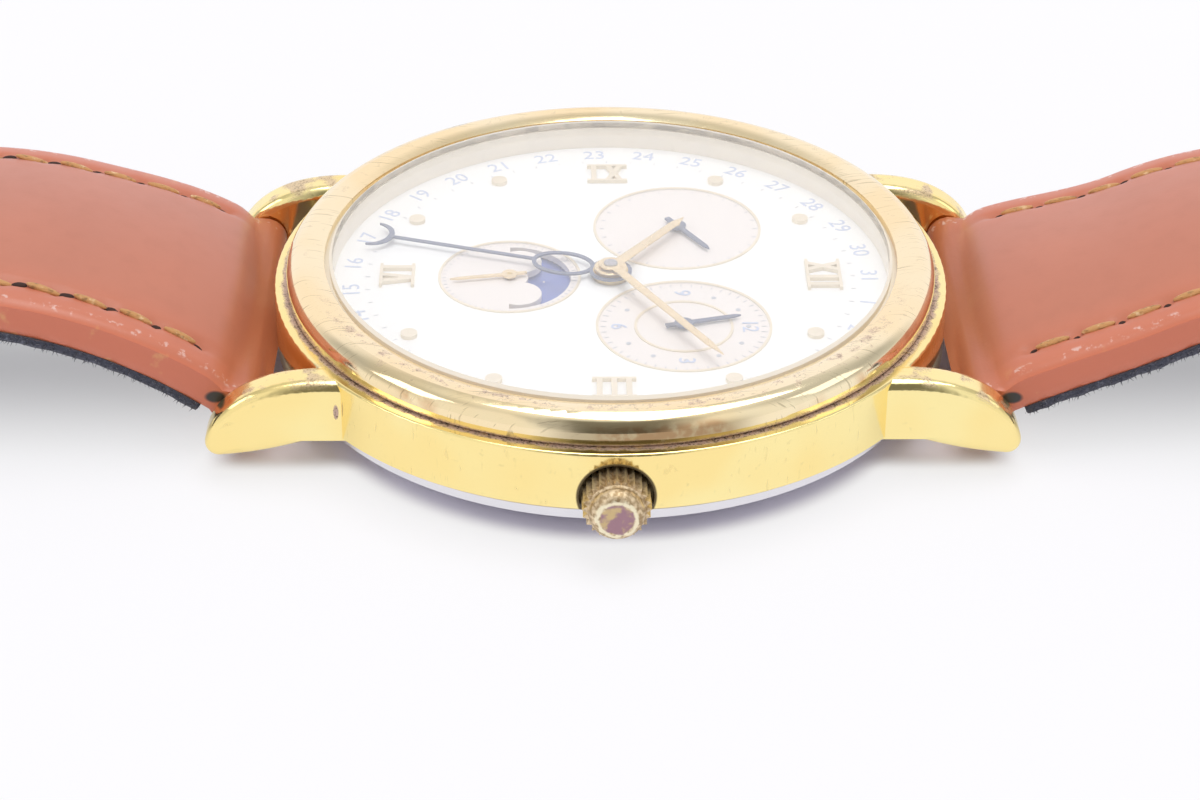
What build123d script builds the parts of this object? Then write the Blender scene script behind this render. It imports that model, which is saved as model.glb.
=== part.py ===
from build123d import *
from math import asin, atan2, cos, degrees, hypot, radians, sin, sqrt
import os

# A round dress watch with a central date pointer, two calendar subdials, small seconds over a moon disc,
# and a padded leather strap with a pin buckle. It lies dial up, with the strap arched down to the table.
# +X points at the crown (3 o'clock), +Y at 12 o'clock and +Z out of the dial.
# The origin is the middle of the flat face of the case back. Lengths are millimetres, angles degrees.

# Case middle: a straight flank under a narrow shoulder, with the bezel seat as a neck above it
case_radius = 17.25
flank_bottom = 2.3
flank_height = 3.2
flank_rounding = 0.14
flank_chamfer = 0.12
shoulder_width = 0.65
neck_inset = 1.8
neck_height = 0.9
case_wall = 2.25
spigot_inset = 1.35
spigot_depth = 0.55
rehaut_inset = 3.0
crystal_seat_inset = 2.3
crystal_seat_height = 1.2

# Lugs, two at each end of the case, as seen from the side
lug_inner_x = 9.0
lug_width = 2.0
lug_root_depth = 0.4
lug_overhang = 2.85
lug_tip_height = 1.22
lug_top_drop = 0.05
lug_edge_rounding = 0.55
lug_hole_depth = 0.95
lug_top_shares = ((0.0, 1.0), (0.46, 0.97), (0.74, 0.79), (0.915, 0.52), (0.995, 0.22))
lug_tip_shares = ((0.995, 0.22), (0.972, 0.06), (0.895, 0.01))
lug_bottom_shares = ((0.895, 0.01), (0.69, 0.05), (0.42, 0.15), (0.22, 0.255))

# Bezel
bezel_side_height = 0.35
bezel_crest_height = 1.45
bezel_crest_inset = 0.85
bezel_width = 1.95
bezel_lip_drop = 0.2
bezel_foot_groove = 0.1

# Crystal and its gasket
crystal_gasket_width = 0.55
crystal_thickness = 1.2
crystal_bevel = 0.15

# Case back: a steel cup snapped over the spigot of the case middle
back_rest_inset = 4.45
back_rim_inset = 0.8
back_rim_bottom = 1.35
back_curve_shares = (0.68, 0.46)
back_floor = 0.6
back_floor_inset = 0.2
back_gasket_thickness = 0.2
back_gasket_width = 0.7
cup_clearance = 0.05

# Crown, its tube and stem, on an axis along +X
crown_height = 3.1
crown_radius = 1.65
crown_root_radius = 1.4
crown_teeth = 24
crown_tooth_length = 1.5
crown_cap_radius = 1.32
crown_cap_step = 0.12
crown_end_radius = 1.0
crown_length = 2.35
crown_gap = 0.25
crown_recess_radius = 1.8
crown_recess_depth = 0.75
crown_bore_radius = 0.85
crown_bore_depth = 1.35
crown_travel = 1.2
tube_radius = 0.75
tube_bore_radius = 0.5
tube_stand = 1.1
crown_gasket_radius = 1.05
crown_gasket_start = 0.3
crown_gasket_length = 0.4
stem_radius = 0.42
stem_thread = 0.5
stem_depth = 3.7
clutch_start = 0.6
clutch_length = 1.0
clutch_radius = 0.8
clutch_groove_radius = 0.5
clutch_groove_length = 0.3
yoke_width = 0.2
yoke_reach = 1.75
yoke_thickness = 0.5
yoke_gap = 0.05
yoke_plate_width = 1.15
yoke_plate_start = 0.9
clutch_slot_clearance = 0.08
clutch_slot_room = 0.16

# Dial, its aperture for the moon and the applied pieces
dial_clearance = 0.2
dial_thickness = 0.4
dial_top = 4.5
dial_centre_hole = 0.95
dial_arbor_hole = 0.3
dial_foot_radius = 0.3
dial_foot_length = 0.8
dial_feet_angles = (118.0, 305.0)
subdial_recess = 0.05
subdial_ring_width = 0.13
subdial_ring_height = 0.06
moon_dial_y = -5.2
moon_dial_radius = 3.55
month_dial_place = (4.95, 3.6)
day_dial_place = (-5.1, 3.6)
calendar_dial_radius = 4.3
calendar_inner_radius = 2.5
aperture_radius = 3.15
aperture_cloud_radius = 1.15
aperture_cloud_x = 1.62
aperture_cloud_drop = 0.5
aperture_hub_radius = 0.95
marker_height = 0.2
dot_radius = 0.42
dot_inset = 3.07
numeral_inset = 3.82
numeral_height = 1.8
numeral_stroke = 0.28
numeral_pitch = 0.72
numeral_serif = 0.16
numeral_slant = 22.0
numeral_width_shares = {"I": 1, "V": 2, "X": 2}

# Hands: angles run clockwise from 12 o'clock, as the hands stand in the photograph
hand_thickness = 0.1
hand_gap = 0.1
hand_hub_rise = 0.04
minute_hand_length = 10.5
minute_hand_width = 0.5
minute_hub_radius = 0.62
minute_hand_angle = 59.0
hour_hand_length = 6.6
hour_hand_width = 0.62
hour_hub_radius = 0.85
hour_hand_angle = 307.0
date_hand_length = 12.1
date_hand_width = 0.2
date_hub_radius = 1.1
date_loop_length = 2.9
date_loop_width = 1.15
date_loop_wall = 0.22
date_tip_radius = 1.15
date_tip_wall = 0.24
date_hand_angle = 197.5
seconds_hand_length = 3.1
seconds_hand_tail = 0.9
seconds_hand_width = 0.22
seconds_hub_radius = 0.4
seconds_hand_angle = 170.5
calendar_hand_length = 3.0
calendar_hand_tail = 0.95
calendar_hand_width = 0.3
calendar_hub_radius = 0.48
day_hand_angle = 57.5
month_hand_angle = 345.0
hand_tip_share = 0.12
hand_taper_share = 0.55

# Movement frame, from the back up: bridge, wheels, main plate, calendar works, dial
holder_width = 2.1
holder_clearance = 0.05
holder_bottom = 1.75
holder_gap = 0.1
plate_bottom = 2.45
plate_thickness = 0.65
plate_rim_width = 1.0
bridge_bottom = 0.85
bridge_thickness = 0.4
bridge_inset = 0.6
bridge_edge_x = 8.3
bridge_edge_y = 2.7
pillar_radius = 0.6
pillar_places = ((4.6, 2.0), (-8.6, -3.4), (0.6, -11.1))
screw_head_radius = 0.45
screw_head_height = 0.14
screw_shank_radius = 0.25
jewel_radius = 0.5
jewel_thickness = 0.25
running_clearance = 0.03

# Going train: the pitch of the teeth is pi times the module
train_level = 1.35
train_level_step = 0.25
wheel_thickness = 0.15
arbor_radius = 0.15
pinion_height = 0.2
centre_module = 0.09
centre_teeth = 64
third_pinion_teeth = 8
third_module = 0.09
third_teeth = 60
fourth_pinion_teeth = 8
fourth_module = 0.08
fourth_teeth = 60
fifth_pinion_teeth = 10
fifth_module = 0.07
fifth_teeth = 60
rotor_pinion_teeth = 12
fifth_bearing = -30.0
rotor_bearing = 0.0
tooth_tip_rise_share = 0.95
tooth_root_drop_share = 1.2
tooth_root_share = 0.31
tooth_tip_share = 0.12
wheel_rim_share = 0.78
wheel_hub_share = 0.26
wheel_spoke_share = 0.16
wheel_spokes = 4

# Motion works and calendar works, on the dial side of the main plate
motion_level = 0.1
motion_level_step = 0.2
cannon_module = 0.1
cannon_teeth = 12
minute_wheel_teeth = 36
minute_pinion_teeth = 10
hour_wheel_teeth = 40
minute_wheel_bearing = 30.0
minute_post_radius = 0.25
arbor_pipe_radius = 0.35
pipe_wall = 0.16
pipe_gap = 0.05
calendar_thickness = 0.12
calendar_level = 0.5
date_wheel_radius = 3.3
date_wheel_teeth = 31
day_star_teeth = 7
month_star_teeth = 12
star_radius = 1.6
calendar_tooth_depth = 0.35
moon_level = 0.7
moon_disc_radius = 3.4
moon_disc_teeth = 59
moon_disc_thickness = 0.15
moon_tooth_depth = 0.16
moon_tube_radius = 0.45
moon_tube_bore = 0.22

# Stepping motor, battery and circuit
rotor_radius = 0.55
rotor_height = 0.7
stator_hole_radius = 0.85
stator_thickness = 0.32
stator_gap = 0.05
stator_pole_radius = 1.7
stator_arm_width = 1.4
coil_x = 9.4
coil_radius = 0.5
coil_half_length = 3.2
core_half_length = 5.3
core_width = 0.7
core_thickness = 0.3
stator_elbow = (6.9, 3.0)
stator_end_y = 4.6
battery_radius = 4.75
battery_thickness = 1.6
battery_place = (-6.6, 4.2)
battery_clearance = 0.25
battery_step = 0.15
clamp_thickness = 0.12
clamp_width = 2.6
clamp_overhang = 1.4
circuit_thickness = 0.2
circuit_inner_radius = 5.6
circuit_outer_radius = 12.2
circuit_start = 28.0
circuit_sweep = 66.0
crystal_can_radius = 0.6
crystal_can_length = 4.6
crystal_can_place = (4.4, 8.4)
chip_size = 2.0
chip_height = 0.45
chip_place = (1.1, 10.3)

# Spring bars: a tube with a sprung tip in each end
bar_overhang = 1.35
bar_height = 2.6
bar_radius = 0.75
bar_bore = 0.55
bar_lip = 0.2
bar_end_gap = 0.3
tip_radius = 0.4
tip_hole_radius = 0.44
tip_plunger_radius = 0.5
tip_plunger_length = 1.5
tip_engagement = 0.85
tip_travel = 0.9

# Strap: leather over a lining, shaped by the side view of its middle line
strap_width = 17.7
strap_end_width = 15.8
strap_half = 1.2
strap_bore = 0.8
lining_thickness = 0.5
long_length = 115.0
long_start_angle = 35.0
long_lead = 2.0
long_crest_bend = 25.0
long_fall_angle = 14.0
long_foot_bend = 60.0
short_length = 75.0
short_start_angle = 26.0
short_lead = 10.0
short_crest_bend = 20.0
short_fall_angle = 30.0
short_foot_bend = 20.0
strap_width_taper = 60.0
section_pitch = 4.5
padding_start = 3.4
padding_length = 42.0
edge_height_start = 0.75
edge_height = 1.25
edge_height_end = 0.75
crown_of_leather_start = 1.15
crown_of_leather = 2.0
crown_of_leather_end = 1.05
tail_point_length = 9.0
tail_point_bulge_share = 0.35
hole_count = 7
hole_pitch = 6.5
hole_first = 26.0
hole_radius = 0.8

# Keepers: a fixed loop behind the buckle and a loose one that slides
keeper_wall = 1.0
keeper_length = 5.0
keeper_side_gap = 0.4
keeper_under_gap = 0.12
keeper_room = 2.5
keeper_rounding = 0.25
fixed_keeper_gap = 5.2
loose_keeper_gap = 1.2
keeper_lift = 0.3

# Buckle: a rounded frame and a tongue on a spring bar at the end of the short strap
buckle_arm_gap = 0.35
buckle_arm_width = 1.5
buckle_bow_width = 2.2
buckle_reach = 9.6
buckle_half_height = 1.0
buckle_corner = 3.6
buckle_eye_radius = 1.3
buckle_rounding = 0.35
buckle_slot_half = 1.5
buckle_slot_length = 3.6
tongue_half_width = 0.85
tongue_ring_half = 1.15
tongue_ring_wall = 0.38
tongue_thickness = 0.85
tongue_overhang = 0.5
tongue_rest_gap = 0.04

# Places worked out from the sizes above
shoulder = flank_bottom + flank_height
neck_top = shoulder + neck_height
neck_radius = case_radius - neck_inset
case_bore_radius = case_radius - case_wall
spigot_radius = case_radius - spigot_inset
rehaut_radius = case_radius - rehaut_inset
crystal_seat_radius = case_radius - crystal_seat_inset
lug_outer_x = lug_inner_x + lug_width
lug_root_y = sqrt(case_radius ** 2 - lug_outer_x ** 2) - lug_root_depth
lug_tip_y = case_radius + lug_overhang
bar_y = case_radius + bar_overhang
bezel_radius = case_radius - shoulder_width
bezel_crest_radius = bezel_radius - bezel_crest_inset
bezel_lip_radius = bezel_radius - bezel_width
crystal_radius = crystal_seat_radius - crystal_gasket_width
back_rest_radius = case_radius - back_rest_inset
back_rim_radius = case_radius - back_rim_inset
back_floor_radius = back_rest_radius - back_floor_inset
dial_radius = case_bore_radius - dial_clearance
dot_circle = dial_radius - dot_inset
numeral_circle = dial_radius - numeral_inset
movement_radius = case_bore_radius - holder_width
bridge_radius = movement_radius - bridge_inset
stem_inner_x = movement_radius - stem_depth
clutch_x = stem_inner_x + clutch_start
crown_recess_floor = case_radius - crown_recess_depth
crystal_seat = dial_top + crystal_seat_height
crystal_top = crystal_seat + crystal_thickness
spigot_bottom = flank_bottom - spigot_depth
dial_bottom = dial_top - dial_thickness
plate_top = plate_bottom + plate_thickness
bridge_top = bridge_bottom + bridge_thickness
crown_inner_x = crown_recess_floor + crown_gap
pinion_overlap = (pinion_height - wheel_thickness) / 2
minute_mesh = cannon_module * (cannon_teeth + minute_wheel_teeth) / 2
hour_module = 2 * minute_mesh / (minute_pinion_teeth + hour_wheel_teeth)
hour_pipe_bore = arbor_pipe_radius + pipe_gap
hour_pipe_radius = hour_pipe_bore + pipe_wall
date_pipe_bore = hour_pipe_radius + pipe_gap
date_pipe_radius = dial_centre_hole - pipe_gap
sub_hand_bottom = dial_top + marker_height / 2
date_hand_bottom = dial_top + marker_height + hand_gap
hour_hand_bottom = date_hand_bottom + hand_thickness + hand_gap
minute_hand_bottom = hour_hand_bottom + hand_thickness + hand_gap
lining_start = padding_start / 2
full_turn = 360.0


def hour_place(angle, radius):
    """Point on the dial at a clockwise angle from 12 o'clock."""
    return radius * sin(radians(angle)), radius * cos(radians(angle))


def lathe(edges):
    """Solid turned round the Z axis from its half section in (radius, height)."""
    return revolve(Plane.XZ * make_face(edges), Axis.Z)


def turned(points):
    """Solid turned round the Z axis from a straight-sided half section."""
    return lathe(Polyline(*points, close=True))


def disc(radius, bottom, height, place=(0, 0)):
    """Upright cylinder from its base height."""
    return Pos(place[0], place[1], bottom) * extrude(Circle(radius), height)


def ring(radius, bore, bottom, height, place=(0, 0)):
    """Upright ring from its base height."""
    return Pos(place[0], place[1], bottom) * extrude(Circle(radius) - Circle(bore), height)


def along_x(shape, x, height):
    """A solid built on the Z axis, laid along +X from the given place."""
    return Pos(x, 0, height) * Rot(0, 90, 0) * shape


def outline(points):
    """Flat face bounded by straight lines."""
    return make_face(Polyline(*points, close=True))


def both_sides(shape):
    """The shape and its mirror image across the YZ plane."""
    return [shape, mirror(shape, Plane.YZ)]


# Case


def lug_point(share):
    """Point of the lug's side view from its shares of reach and height."""
    top = shoulder - lug_top_drop
    return (lug_root_y + share[0] * (lug_tip_y - lug_root_y),
            lug_tip_height + share[1] * (top - lug_tip_height))


def lug():
    """The lug at +X and +Y: a curved side view of even width, rounded along its top and tip."""
    top = Spline(*[lug_point(share) for share in lug_top_shares])
    tip = ThreePointArc(*[lug_point(share) for share in lug_tip_shares])
    bottom = Spline(*[lug_point(share) for share in lug_bottom_shares])
    under = (lug_root_y, flank_bottom)
    closing = Polyline(bottom @ 1, under, top @ 0)
    side = make_face(top + tip + bottom + closing)
    solid = extrude(Plane.YZ * side, lug_width)
    top_edges = [edge for edge in solid.edges()
                 if edge.geom_type == GeomType.BSPLINE and edge.center().Z > bar_height]
    tip_edges = solid.edges().filter_by(GeomType.CIRCLE)
    return Pos(lug_inner_x, 0, 0) * fillet(top_edges + list(tip_edges), lug_edge_rounding)


def case_middle():
    """Brass ring with its four lugs, bar holes and the recess and bore for the crown."""
    body = turned([
        (case_radius - flank_chamfer, flank_bottom), (case_radius, flank_bottom + flank_chamfer),
        (case_radius, shoulder), (neck_radius, shoulder),
        (neck_radius, neck_top), (crystal_seat_radius, neck_top), (crystal_seat_radius, crystal_seat),
        (rehaut_radius, crystal_seat), (rehaut_radius, dial_top), (case_bore_radius, dial_top),
        (case_bore_radius, spigot_bottom), (spigot_radius, spigot_bottom), (spigot_radius, flank_bottom),
    ])
    rim = body.edges().filter_by(GeomType.CIRCLE).sort_by(Axis.Z).filter_by(
        lambda edge: edge.radius > bezel_radius)[-1]
    body = fillet(rim, flank_rounding)
    twelve_lugs = both_sides(lug())
    six_lugs = [mirror(side, Plane.XZ) for side in twelve_lugs]
    body += twelve_lugs + six_lugs
    recess = Cylinder(crown_recess_radius, case_radius, align=(Align.CENTER, Align.CENTER, Align.MIN))
    body -= along_x(recess, crown_recess_floor, crown_height)
    bore = Cylinder(tube_radius, case_radius, align=(Align.CENTER, Align.CENTER, Align.MIN))
    body -= along_x(bore, rehaut_radius, crown_height)
    hole = Cylinder(tip_hole_radius, 2 * (lug_inner_x + lug_hole_depth), rotation=(0, 90, 0))
    for end_y in (bar_y, -bar_y):
        body -= Pos(0, end_y, bar_height) * hole
    return body


def bezel():
    """Polished ring with a rounded crest, pressed over the neck of the case middle."""
    crest = (bezel_crest_radius, shoulder + bezel_crest_height)
    side_top = (bezel_radius, shoulder + bezel_side_height)
    rise = crest[1] - side_top[1]
    swell = (crest[0] + (side_top[0] - crest[0]) / sqrt(2), side_top[1] + rise / sqrt(2))
    lip = (bezel_lip_radius, crest[1] - bezel_lip_drop)
    fall = ((crest[0] + lip[0]) / 2, crest[1] - bezel_lip_drop / 4)
    return lathe(Polyline(side_top, (bezel_radius, shoulder + bezel_foot_groove),
                          (bezel_radius - bezel_foot_groove, shoulder), (neck_radius, shoulder),
                          (neck_radius, neck_top), (bezel_lip_radius, neck_top), lip)
                 + ThreePointArc(lip, fall, crest) + ThreePointArc(crest, swell, side_top))


def crystal():
    """Flat mineral glass with a bevelled top edge."""
    return turned([(0, crystal_seat), (crystal_radius, crystal_seat),
                   (crystal_radius, crystal_top - crystal_bevel),
                   (crystal_radius - crystal_bevel, crystal_top), (0, crystal_top)])


def crystal_gasket():
    """Plastic ring that holds the glass in the case middle."""
    return ring(crystal_seat_radius, crystal_radius, crystal_seat, neck_top - crystal_seat)


def case_back():
    """Steel cup with a flat rest face, a domed side and a straight rim over the spigot."""
    gasket_seat = spigot_bottom - back_gasket_thickness
    cup = spigot_radius + cup_clearance
    rest = (back_rest_radius, 0)
    rim = (back_rim_radius, back_rim_bottom)
    swell = (rest[0] + back_curve_shares[0] * (rim[0] - rest[0]), back_curve_shares[1] * rim[1])
    return lathe(Polyline(rim, (back_rim_radius, flank_bottom), (cup, flank_bottom), (cup, gasket_seat),
                          (case_bore_radius, gasket_seat), (back_floor_radius, back_floor),
                          (0, back_floor), (0, 0), rest) + ThreePointArc(rest, swell, rim))


def back_gasket():
    """Flat sealing ring between the spigot and the cup."""
    return ring(spigot_radius, spigot_radius - back_gasket_width, spigot_bottom - back_gasket_thickness,
                back_gasket_thickness)


# Crown and keyless work


def star(tip_radius, root_radius, teeth):
    """Face with pointed teeth."""
    step = full_turn / teeth
    points = []
    for tooth in range(teeth):
        points.append(hour_place(tooth * step, tip_radius))
        points.append(hour_place((tooth + 1 / 2) * step, root_radius))
    return outline(points)


def crown():
    """Toothed crown with a stepped, domed cap and a bore over the tube."""
    step_start = crown_tooth_length + crown_cap_step
    swell = (crown_end_radius + (crown_cap_radius - crown_end_radius) / sqrt(2),
             step_start + (crown_length - step_start) / sqrt(2))
    cap = lathe(Polyline((crown_end_radius, crown_length), (0, crown_length), (0, 0), (crown_root_radius, 0),
                         (crown_root_radius, crown_tooth_length), (crown_cap_radius, step_start))
                + ThreePointArc((crown_cap_radius, step_start), swell, (crown_end_radius, crown_length)))
    cap += extrude(star(crown_radius, crown_root_radius, crown_teeth), crown_tooth_length)
    cap -= disc(crown_bore_radius, 0, crown_bore_depth)
    cap -= disc(crown_gasket_radius, crown_gasket_start, crown_gasket_length)
    cap -= disc(stem_radius, 0, crown_bore_depth + stem_thread)
    return along_x(cap, crown_inner_x, crown_height)


def crown_gasket():
    """Sealing ring in the crown's groove, round the tube."""
    seal = ring(crown_gasket_radius, tube_radius + running_clearance, crown_gasket_start, crown_gasket_length)
    return along_x(seal, crown_inner_x, crown_height)


def crown_tube():
    """Tube pressed through the case wall."""
    length = crown_recess_floor + tube_stand - case_bore_radius
    return along_x(ring(tube_radius, tube_bore_radius, 0, length), case_bore_radius, crown_height)


def stem():
    """Winding stem, from the crown's thread to the clutch."""
    length = crown_inner_x + crown_bore_depth + stem_thread - stem_inner_x
    return along_x(disc(stem_radius, 0, length), stem_inner_x, crown_height)


def clutch():
    """Sliding pinion on the stem, with a groove for the yoke."""
    groove = (clutch_length - clutch_groove_length) / 2
    wheel = ring(clutch_radius, stem_radius, 0, clutch_length)
    wheel -= ring(clutch_radius, clutch_groove_radius, groove, clutch_groove_length)
    return along_x(wheel, clutch_x, crown_height)


def setting_yoke():
    """Sliding plate on the main plate, with a finger in the groove of the sliding pinion."""
    start = clutch_groove_radius + yoke_gap
    finger = Rectangle(yoke_width, yoke_reach, align=(Align.CENTER, Align.MIN))
    plate = Rectangle(yoke_plate_width, start + yoke_reach - yoke_plate_start, align=(Align.MAX, Align.MIN))
    face = Pos(0, start) * finger + Pos(yoke_width / 2, yoke_plate_start) * plate
    return Pos(clutch_x + clutch_length / 2, 0, plate_top + running_clearance) * extrude(face, yoke_thickness)


# Dial and markers


def moon_aperture():
    """Half-round window with a cloud scallop on each side and room left for the hub of the hand."""
    window = Circle(aperture_radius) - Pos(0, -aperture_radius) * Rectangle(
        2 * aperture_radius, 2 * aperture_radius)
    for side in (-1, 1):
        window -= Pos(side * aperture_cloud_x, aperture_cloud_drop) * Circle(aperture_cloud_radius)
    window -= Circle(aperture_hub_radius)
    return window


def subdials():
    """Place and radius of each subdial."""
    return (((0, moon_dial_y), moon_dial_radius), (month_dial_place, calendar_dial_radius),
            (day_dial_place, calendar_dial_radius))


def dial():
    """Dial plate on two feet, with sunk subdials, the moon's window and holes for the hands."""
    plate = disc(dial_radius, dial_bottom, dial_thickness)
    for place, radius in subdials():
        plate -= disc(radius, dial_top - subdial_recess, subdial_recess, place)
        plate -= disc(dial_arbor_hole, dial_bottom, dial_thickness, place)
    plate -= disc(dial_centre_hole, dial_bottom, dial_thickness)
    plate -= Pos(0, moon_dial_y, dial_bottom) * extrude(moon_aperture(), dial_thickness)
    for angle in dial_feet_angles:
        foot = hour_place(angle, movement_radius - plate_rim_width / 2)
        plate += disc(dial_foot_radius, dial_bottom - dial_foot_length, dial_foot_length, foot)
    return plate


def subdial_rings():
    """Thin raised rings round the subdials and inside the month dial."""
    rings = [ring(radius + subdial_ring_width, radius, dial_top, subdial_ring_height, place)
             for place, radius in subdials()]
    rings.append(ring(calendar_inner_radius, calendar_inner_radius - subdial_ring_width,
                      dial_top - subdial_recess, subdial_ring_height, month_dial_place))
    return rings


def stroke(x, slant):
    """One upright or slanted bar of a roman numeral."""
    return Pos(x, 0) * Rot(0, 0, slant) * Rectangle(numeral_stroke, numeral_height / cos(radians(slant)))


def roman(text):
    """Face of a roman numeral made of I, V and X, between two serif lines."""
    total = sum(numeral_width_shares[letter] for letter in text) * numeral_pitch
    x = -total / 2
    face = Sketch()
    for letter in text:
        middle = x + numeral_width_shares[letter] * numeral_pitch / 2
        if letter == "I":
            face += stroke(middle, 0)
        if letter == "V":
            lean = numeral_height * sin(radians(numeral_slant)) / 2
            face += stroke(middle - lean / 2, numeral_slant / 2)
            face += stroke(middle + lean / 2, -numeral_slant / 2)
        if letter == "X":
            face += stroke(middle, numeral_slant)
            face += stroke(middle, -numeral_slant)
        x += numeral_width_shares[letter] * numeral_pitch
    for side in (-1, 1):
        face += Pos(0, side * (numeral_height - numeral_serif) / 2) * Rectangle(total, numeral_serif)
    trim = Rectangle(total, numeral_height)
    return face & trim


def hour_markers():
    """Roman numerals at the quarters and round studs at the other hours, all upright from the centre."""
    pieces = []
    for hour in range(1, 13):
        angle = hour * full_turn / 12
        quarter = {12: "XII", 3: "III", 6: "VI", 9: "IX"}.get(hour)
        if quarter:
            face = Rot(0, 0, -angle) * Pos(0, numeral_circle) * roman(quarter)
            pieces.append(Pos(0, 0, dial_top) * extrude(face, marker_height))
        else:
            pieces.append(disc(dot_radius, dial_top, marker_height, hour_place(angle, dot_circle)))
    return pieces


# Hands


def pointed_hand(length, tail, width, hub_radius, bore):
    """Flat hand along +Y with a tapered blade, a pointed tip and a round hub."""
    root = width / 2
    neck = root * (1 + hand_taper_share) / 2
    shoulder_y = length * (1 - hand_tip_share)
    blade = outline([(-root, 0), (root, 0), (neck, shoulder_y), (0, length), (-neck, shoulder_y)])
    if tail > 0:
        blade += Rectangle(width, tail, align=(Align.CENTER, Align.MAX))
    return blade + Circle(hub_radius) - Circle(bore)


def place_hand(face, angle, bottom, place=(0, 0)):
    """Extruded hand, turned clockwise to its reading."""
    return Pos(place[0], place[1], bottom) * Rot(0, 0, -angle) * extrude(face, hand_thickness)


def minute_hand():
    """Gold minute hand."""
    face = pointed_hand(minute_hand_length, 0, minute_hand_width, minute_hub_radius, arbor_pipe_radius)
    return place_hand(face, minute_hand_angle, minute_hand_bottom)


def hour_hand():
    """Gold hour hand."""
    face = pointed_hand(hour_hand_length, 0, hour_hand_width, hour_hub_radius, hour_pipe_radius)
    return place_hand(face, hour_hand_angle, hour_hand_bottom)


def date_hand():
    """Dark date pointer: an open loop by the hub, a thin shaft and an open crescent at the tip."""
    loop_y = date_hub_radius + date_loop_length / 2
    loop = Ellipse(date_loop_width, date_loop_length / 2 + date_loop_wall)
    loop -= Ellipse(date_loop_width - date_loop_wall, date_loop_length / 2)
    shaft_start = date_hub_radius + date_loop_length
    shaft = Rectangle(date_hand_width, date_hand_length - shaft_start,
                      align=(Align.CENTER, Align.MIN))
    crescent = Circle(date_tip_radius) - Pos(0, date_tip_wall) * Circle(date_tip_radius - date_tip_wall / 4)
    crescent &= Pos(0, -date_tip_radius) * Rectangle(2 * date_tip_radius, 2 * date_tip_radius)
    face = Circle(date_hub_radius) + Pos(0, loop_y) * loop + Pos(0, shaft_start) * shaft
    face += Pos(0, date_hand_length + date_tip_radius - date_tip_wall) * crescent
    face -= Circle(date_pipe_radius)
    return place_hand(face, date_hand_angle, date_hand_bottom)


def seconds_hand():
    """Small gold seconds hand over the moon's window."""
    face = pointed_hand(seconds_hand_length, seconds_hand_tail, seconds_hand_width, seconds_hub_radius,
                        arbor_radius)
    return place_hand(face, seconds_hand_angle, sub_hand_bottom, (0, moon_dial_y))


def calendar_hand(angle, place):
    """Dark hand of a calendar subdial."""
    face = pointed_hand(calendar_hand_length, calendar_hand_tail, calendar_hand_width, calendar_hub_radius,
                        arbor_radius)
    return place_hand(face, angle, sub_hand_bottom, place)


# Wheels


def bearing(start, end):
    """Direction from one centre to another, in degrees from +X."""
    return degrees(atan2(end[1] - start[1], end[0] - start[0]))


def gear(module, teeth, facing, gap=False):
    """Face of a wheel or pinion with a straight-sided tooth, or a gap, in the facing direction."""
    pitch_radius = module * teeth / 2
    tip = pitch_radius + tooth_tip_rise_share * module
    root = pitch_radius - tooth_root_drop_share * module
    step = full_turn / teeth
    first = full_turn / 4 - facing + (step / 2 if gap else 0)
    points = []
    for tooth in range(teeth):
        middle = first + tooth * step
        points.append(hour_place(middle - tooth_root_share * step, root))
        points.append(hour_place(middle - tooth_tip_share * step, tip))
        points.append(hour_place(middle + tooth_tip_share * step, tip))
        points.append(hour_place(middle + tooth_root_share * step, root))
    return outline(points)


def spoked_wheel(module, teeth, bore, facing):
    """Toothed wheel with crossed-out spokes and a tooth in the facing direction."""
    root = module * teeth / 2 - tooth_root_drop_share * module
    window = Circle(wheel_rim_share * root) - Circle(wheel_hub_share * root)
    for turn in range(wheel_spokes // 2):
        bar = Rectangle(2 * root, wheel_spoke_share * root)
        window -= Rot(0, 0, turn * full_turn / wheel_spokes) * bar
    return gear(module, teeth, facing) - window - Circle(bore)


def mesh_place(start, direction, module, teeth_a, teeth_b):
    """Centre of a wheel that meshes with one at the start, in a direction from +X."""
    reach = module * (teeth_a + teeth_b) / 2
    return start[0] + reach * cos(radians(direction)), start[1] + reach * sin(radians(direction))


def third_place():
    """The third wheel meshes with the centre wheel and with the fourth wheel's pinion."""
    to_centre = centre_module * (centre_teeth + third_pinion_teeth) / 2
    to_fourth = third_module * (third_teeth + fourth_pinion_teeth) / 2
    span = -moon_dial_y
    y = (to_centre ** 2 - to_fourth ** 2 + span ** 2) / (2 * span)
    return sqrt(to_centre ** 2 - y ** 2), -y


centre_place = (0, 0)
fourth_place = (0, moon_dial_y)
fifth_place = mesh_place(fourth_place, fifth_bearing, fourth_module, fourth_teeth, fifth_pinion_teeth)
rotor_place = mesh_place(fifth_place, rotor_bearing, fifth_module, fifth_teeth, rotor_pinion_teeth)
minute_wheel_place = mesh_place(centre_place, minute_wheel_bearing, cannon_module, cannon_teeth,
                                minute_wheel_teeth)


def level(step):
    """Height of a level of the going train."""
    return train_level + step * train_level_step


def train_wheel(place, module, teeth, step, driver, top):
    """Spoked wheel on an arbor between the bridge and the main plate, with a tooth towards its driver."""
    wheel = extrude(spoked_wheel(module, teeth, arbor_radius, bearing(place, driver)), wheel_thickness)
    return (disc(arbor_radius, bridge_top - jewel_thickness, top - bridge_top + jewel_thickness, place)
            + Pos(place[0], place[1], level(step)) * wheel)


def train_pinion(place, module, teeth, step, driven):
    """Pinion at a level of the train, with a gap towards the wheel that it drives."""
    pinion = extrude(gear(module, teeth, bearing(place, driven), gap=True), pinion_height)
    return Pos(place[0], place[1], level(step) - pinion_overlap) * pinion


def plate_pivot():
    """Height that the upper pivots reach in the main plate."""
    return plate_bottom + jewel_thickness


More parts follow.
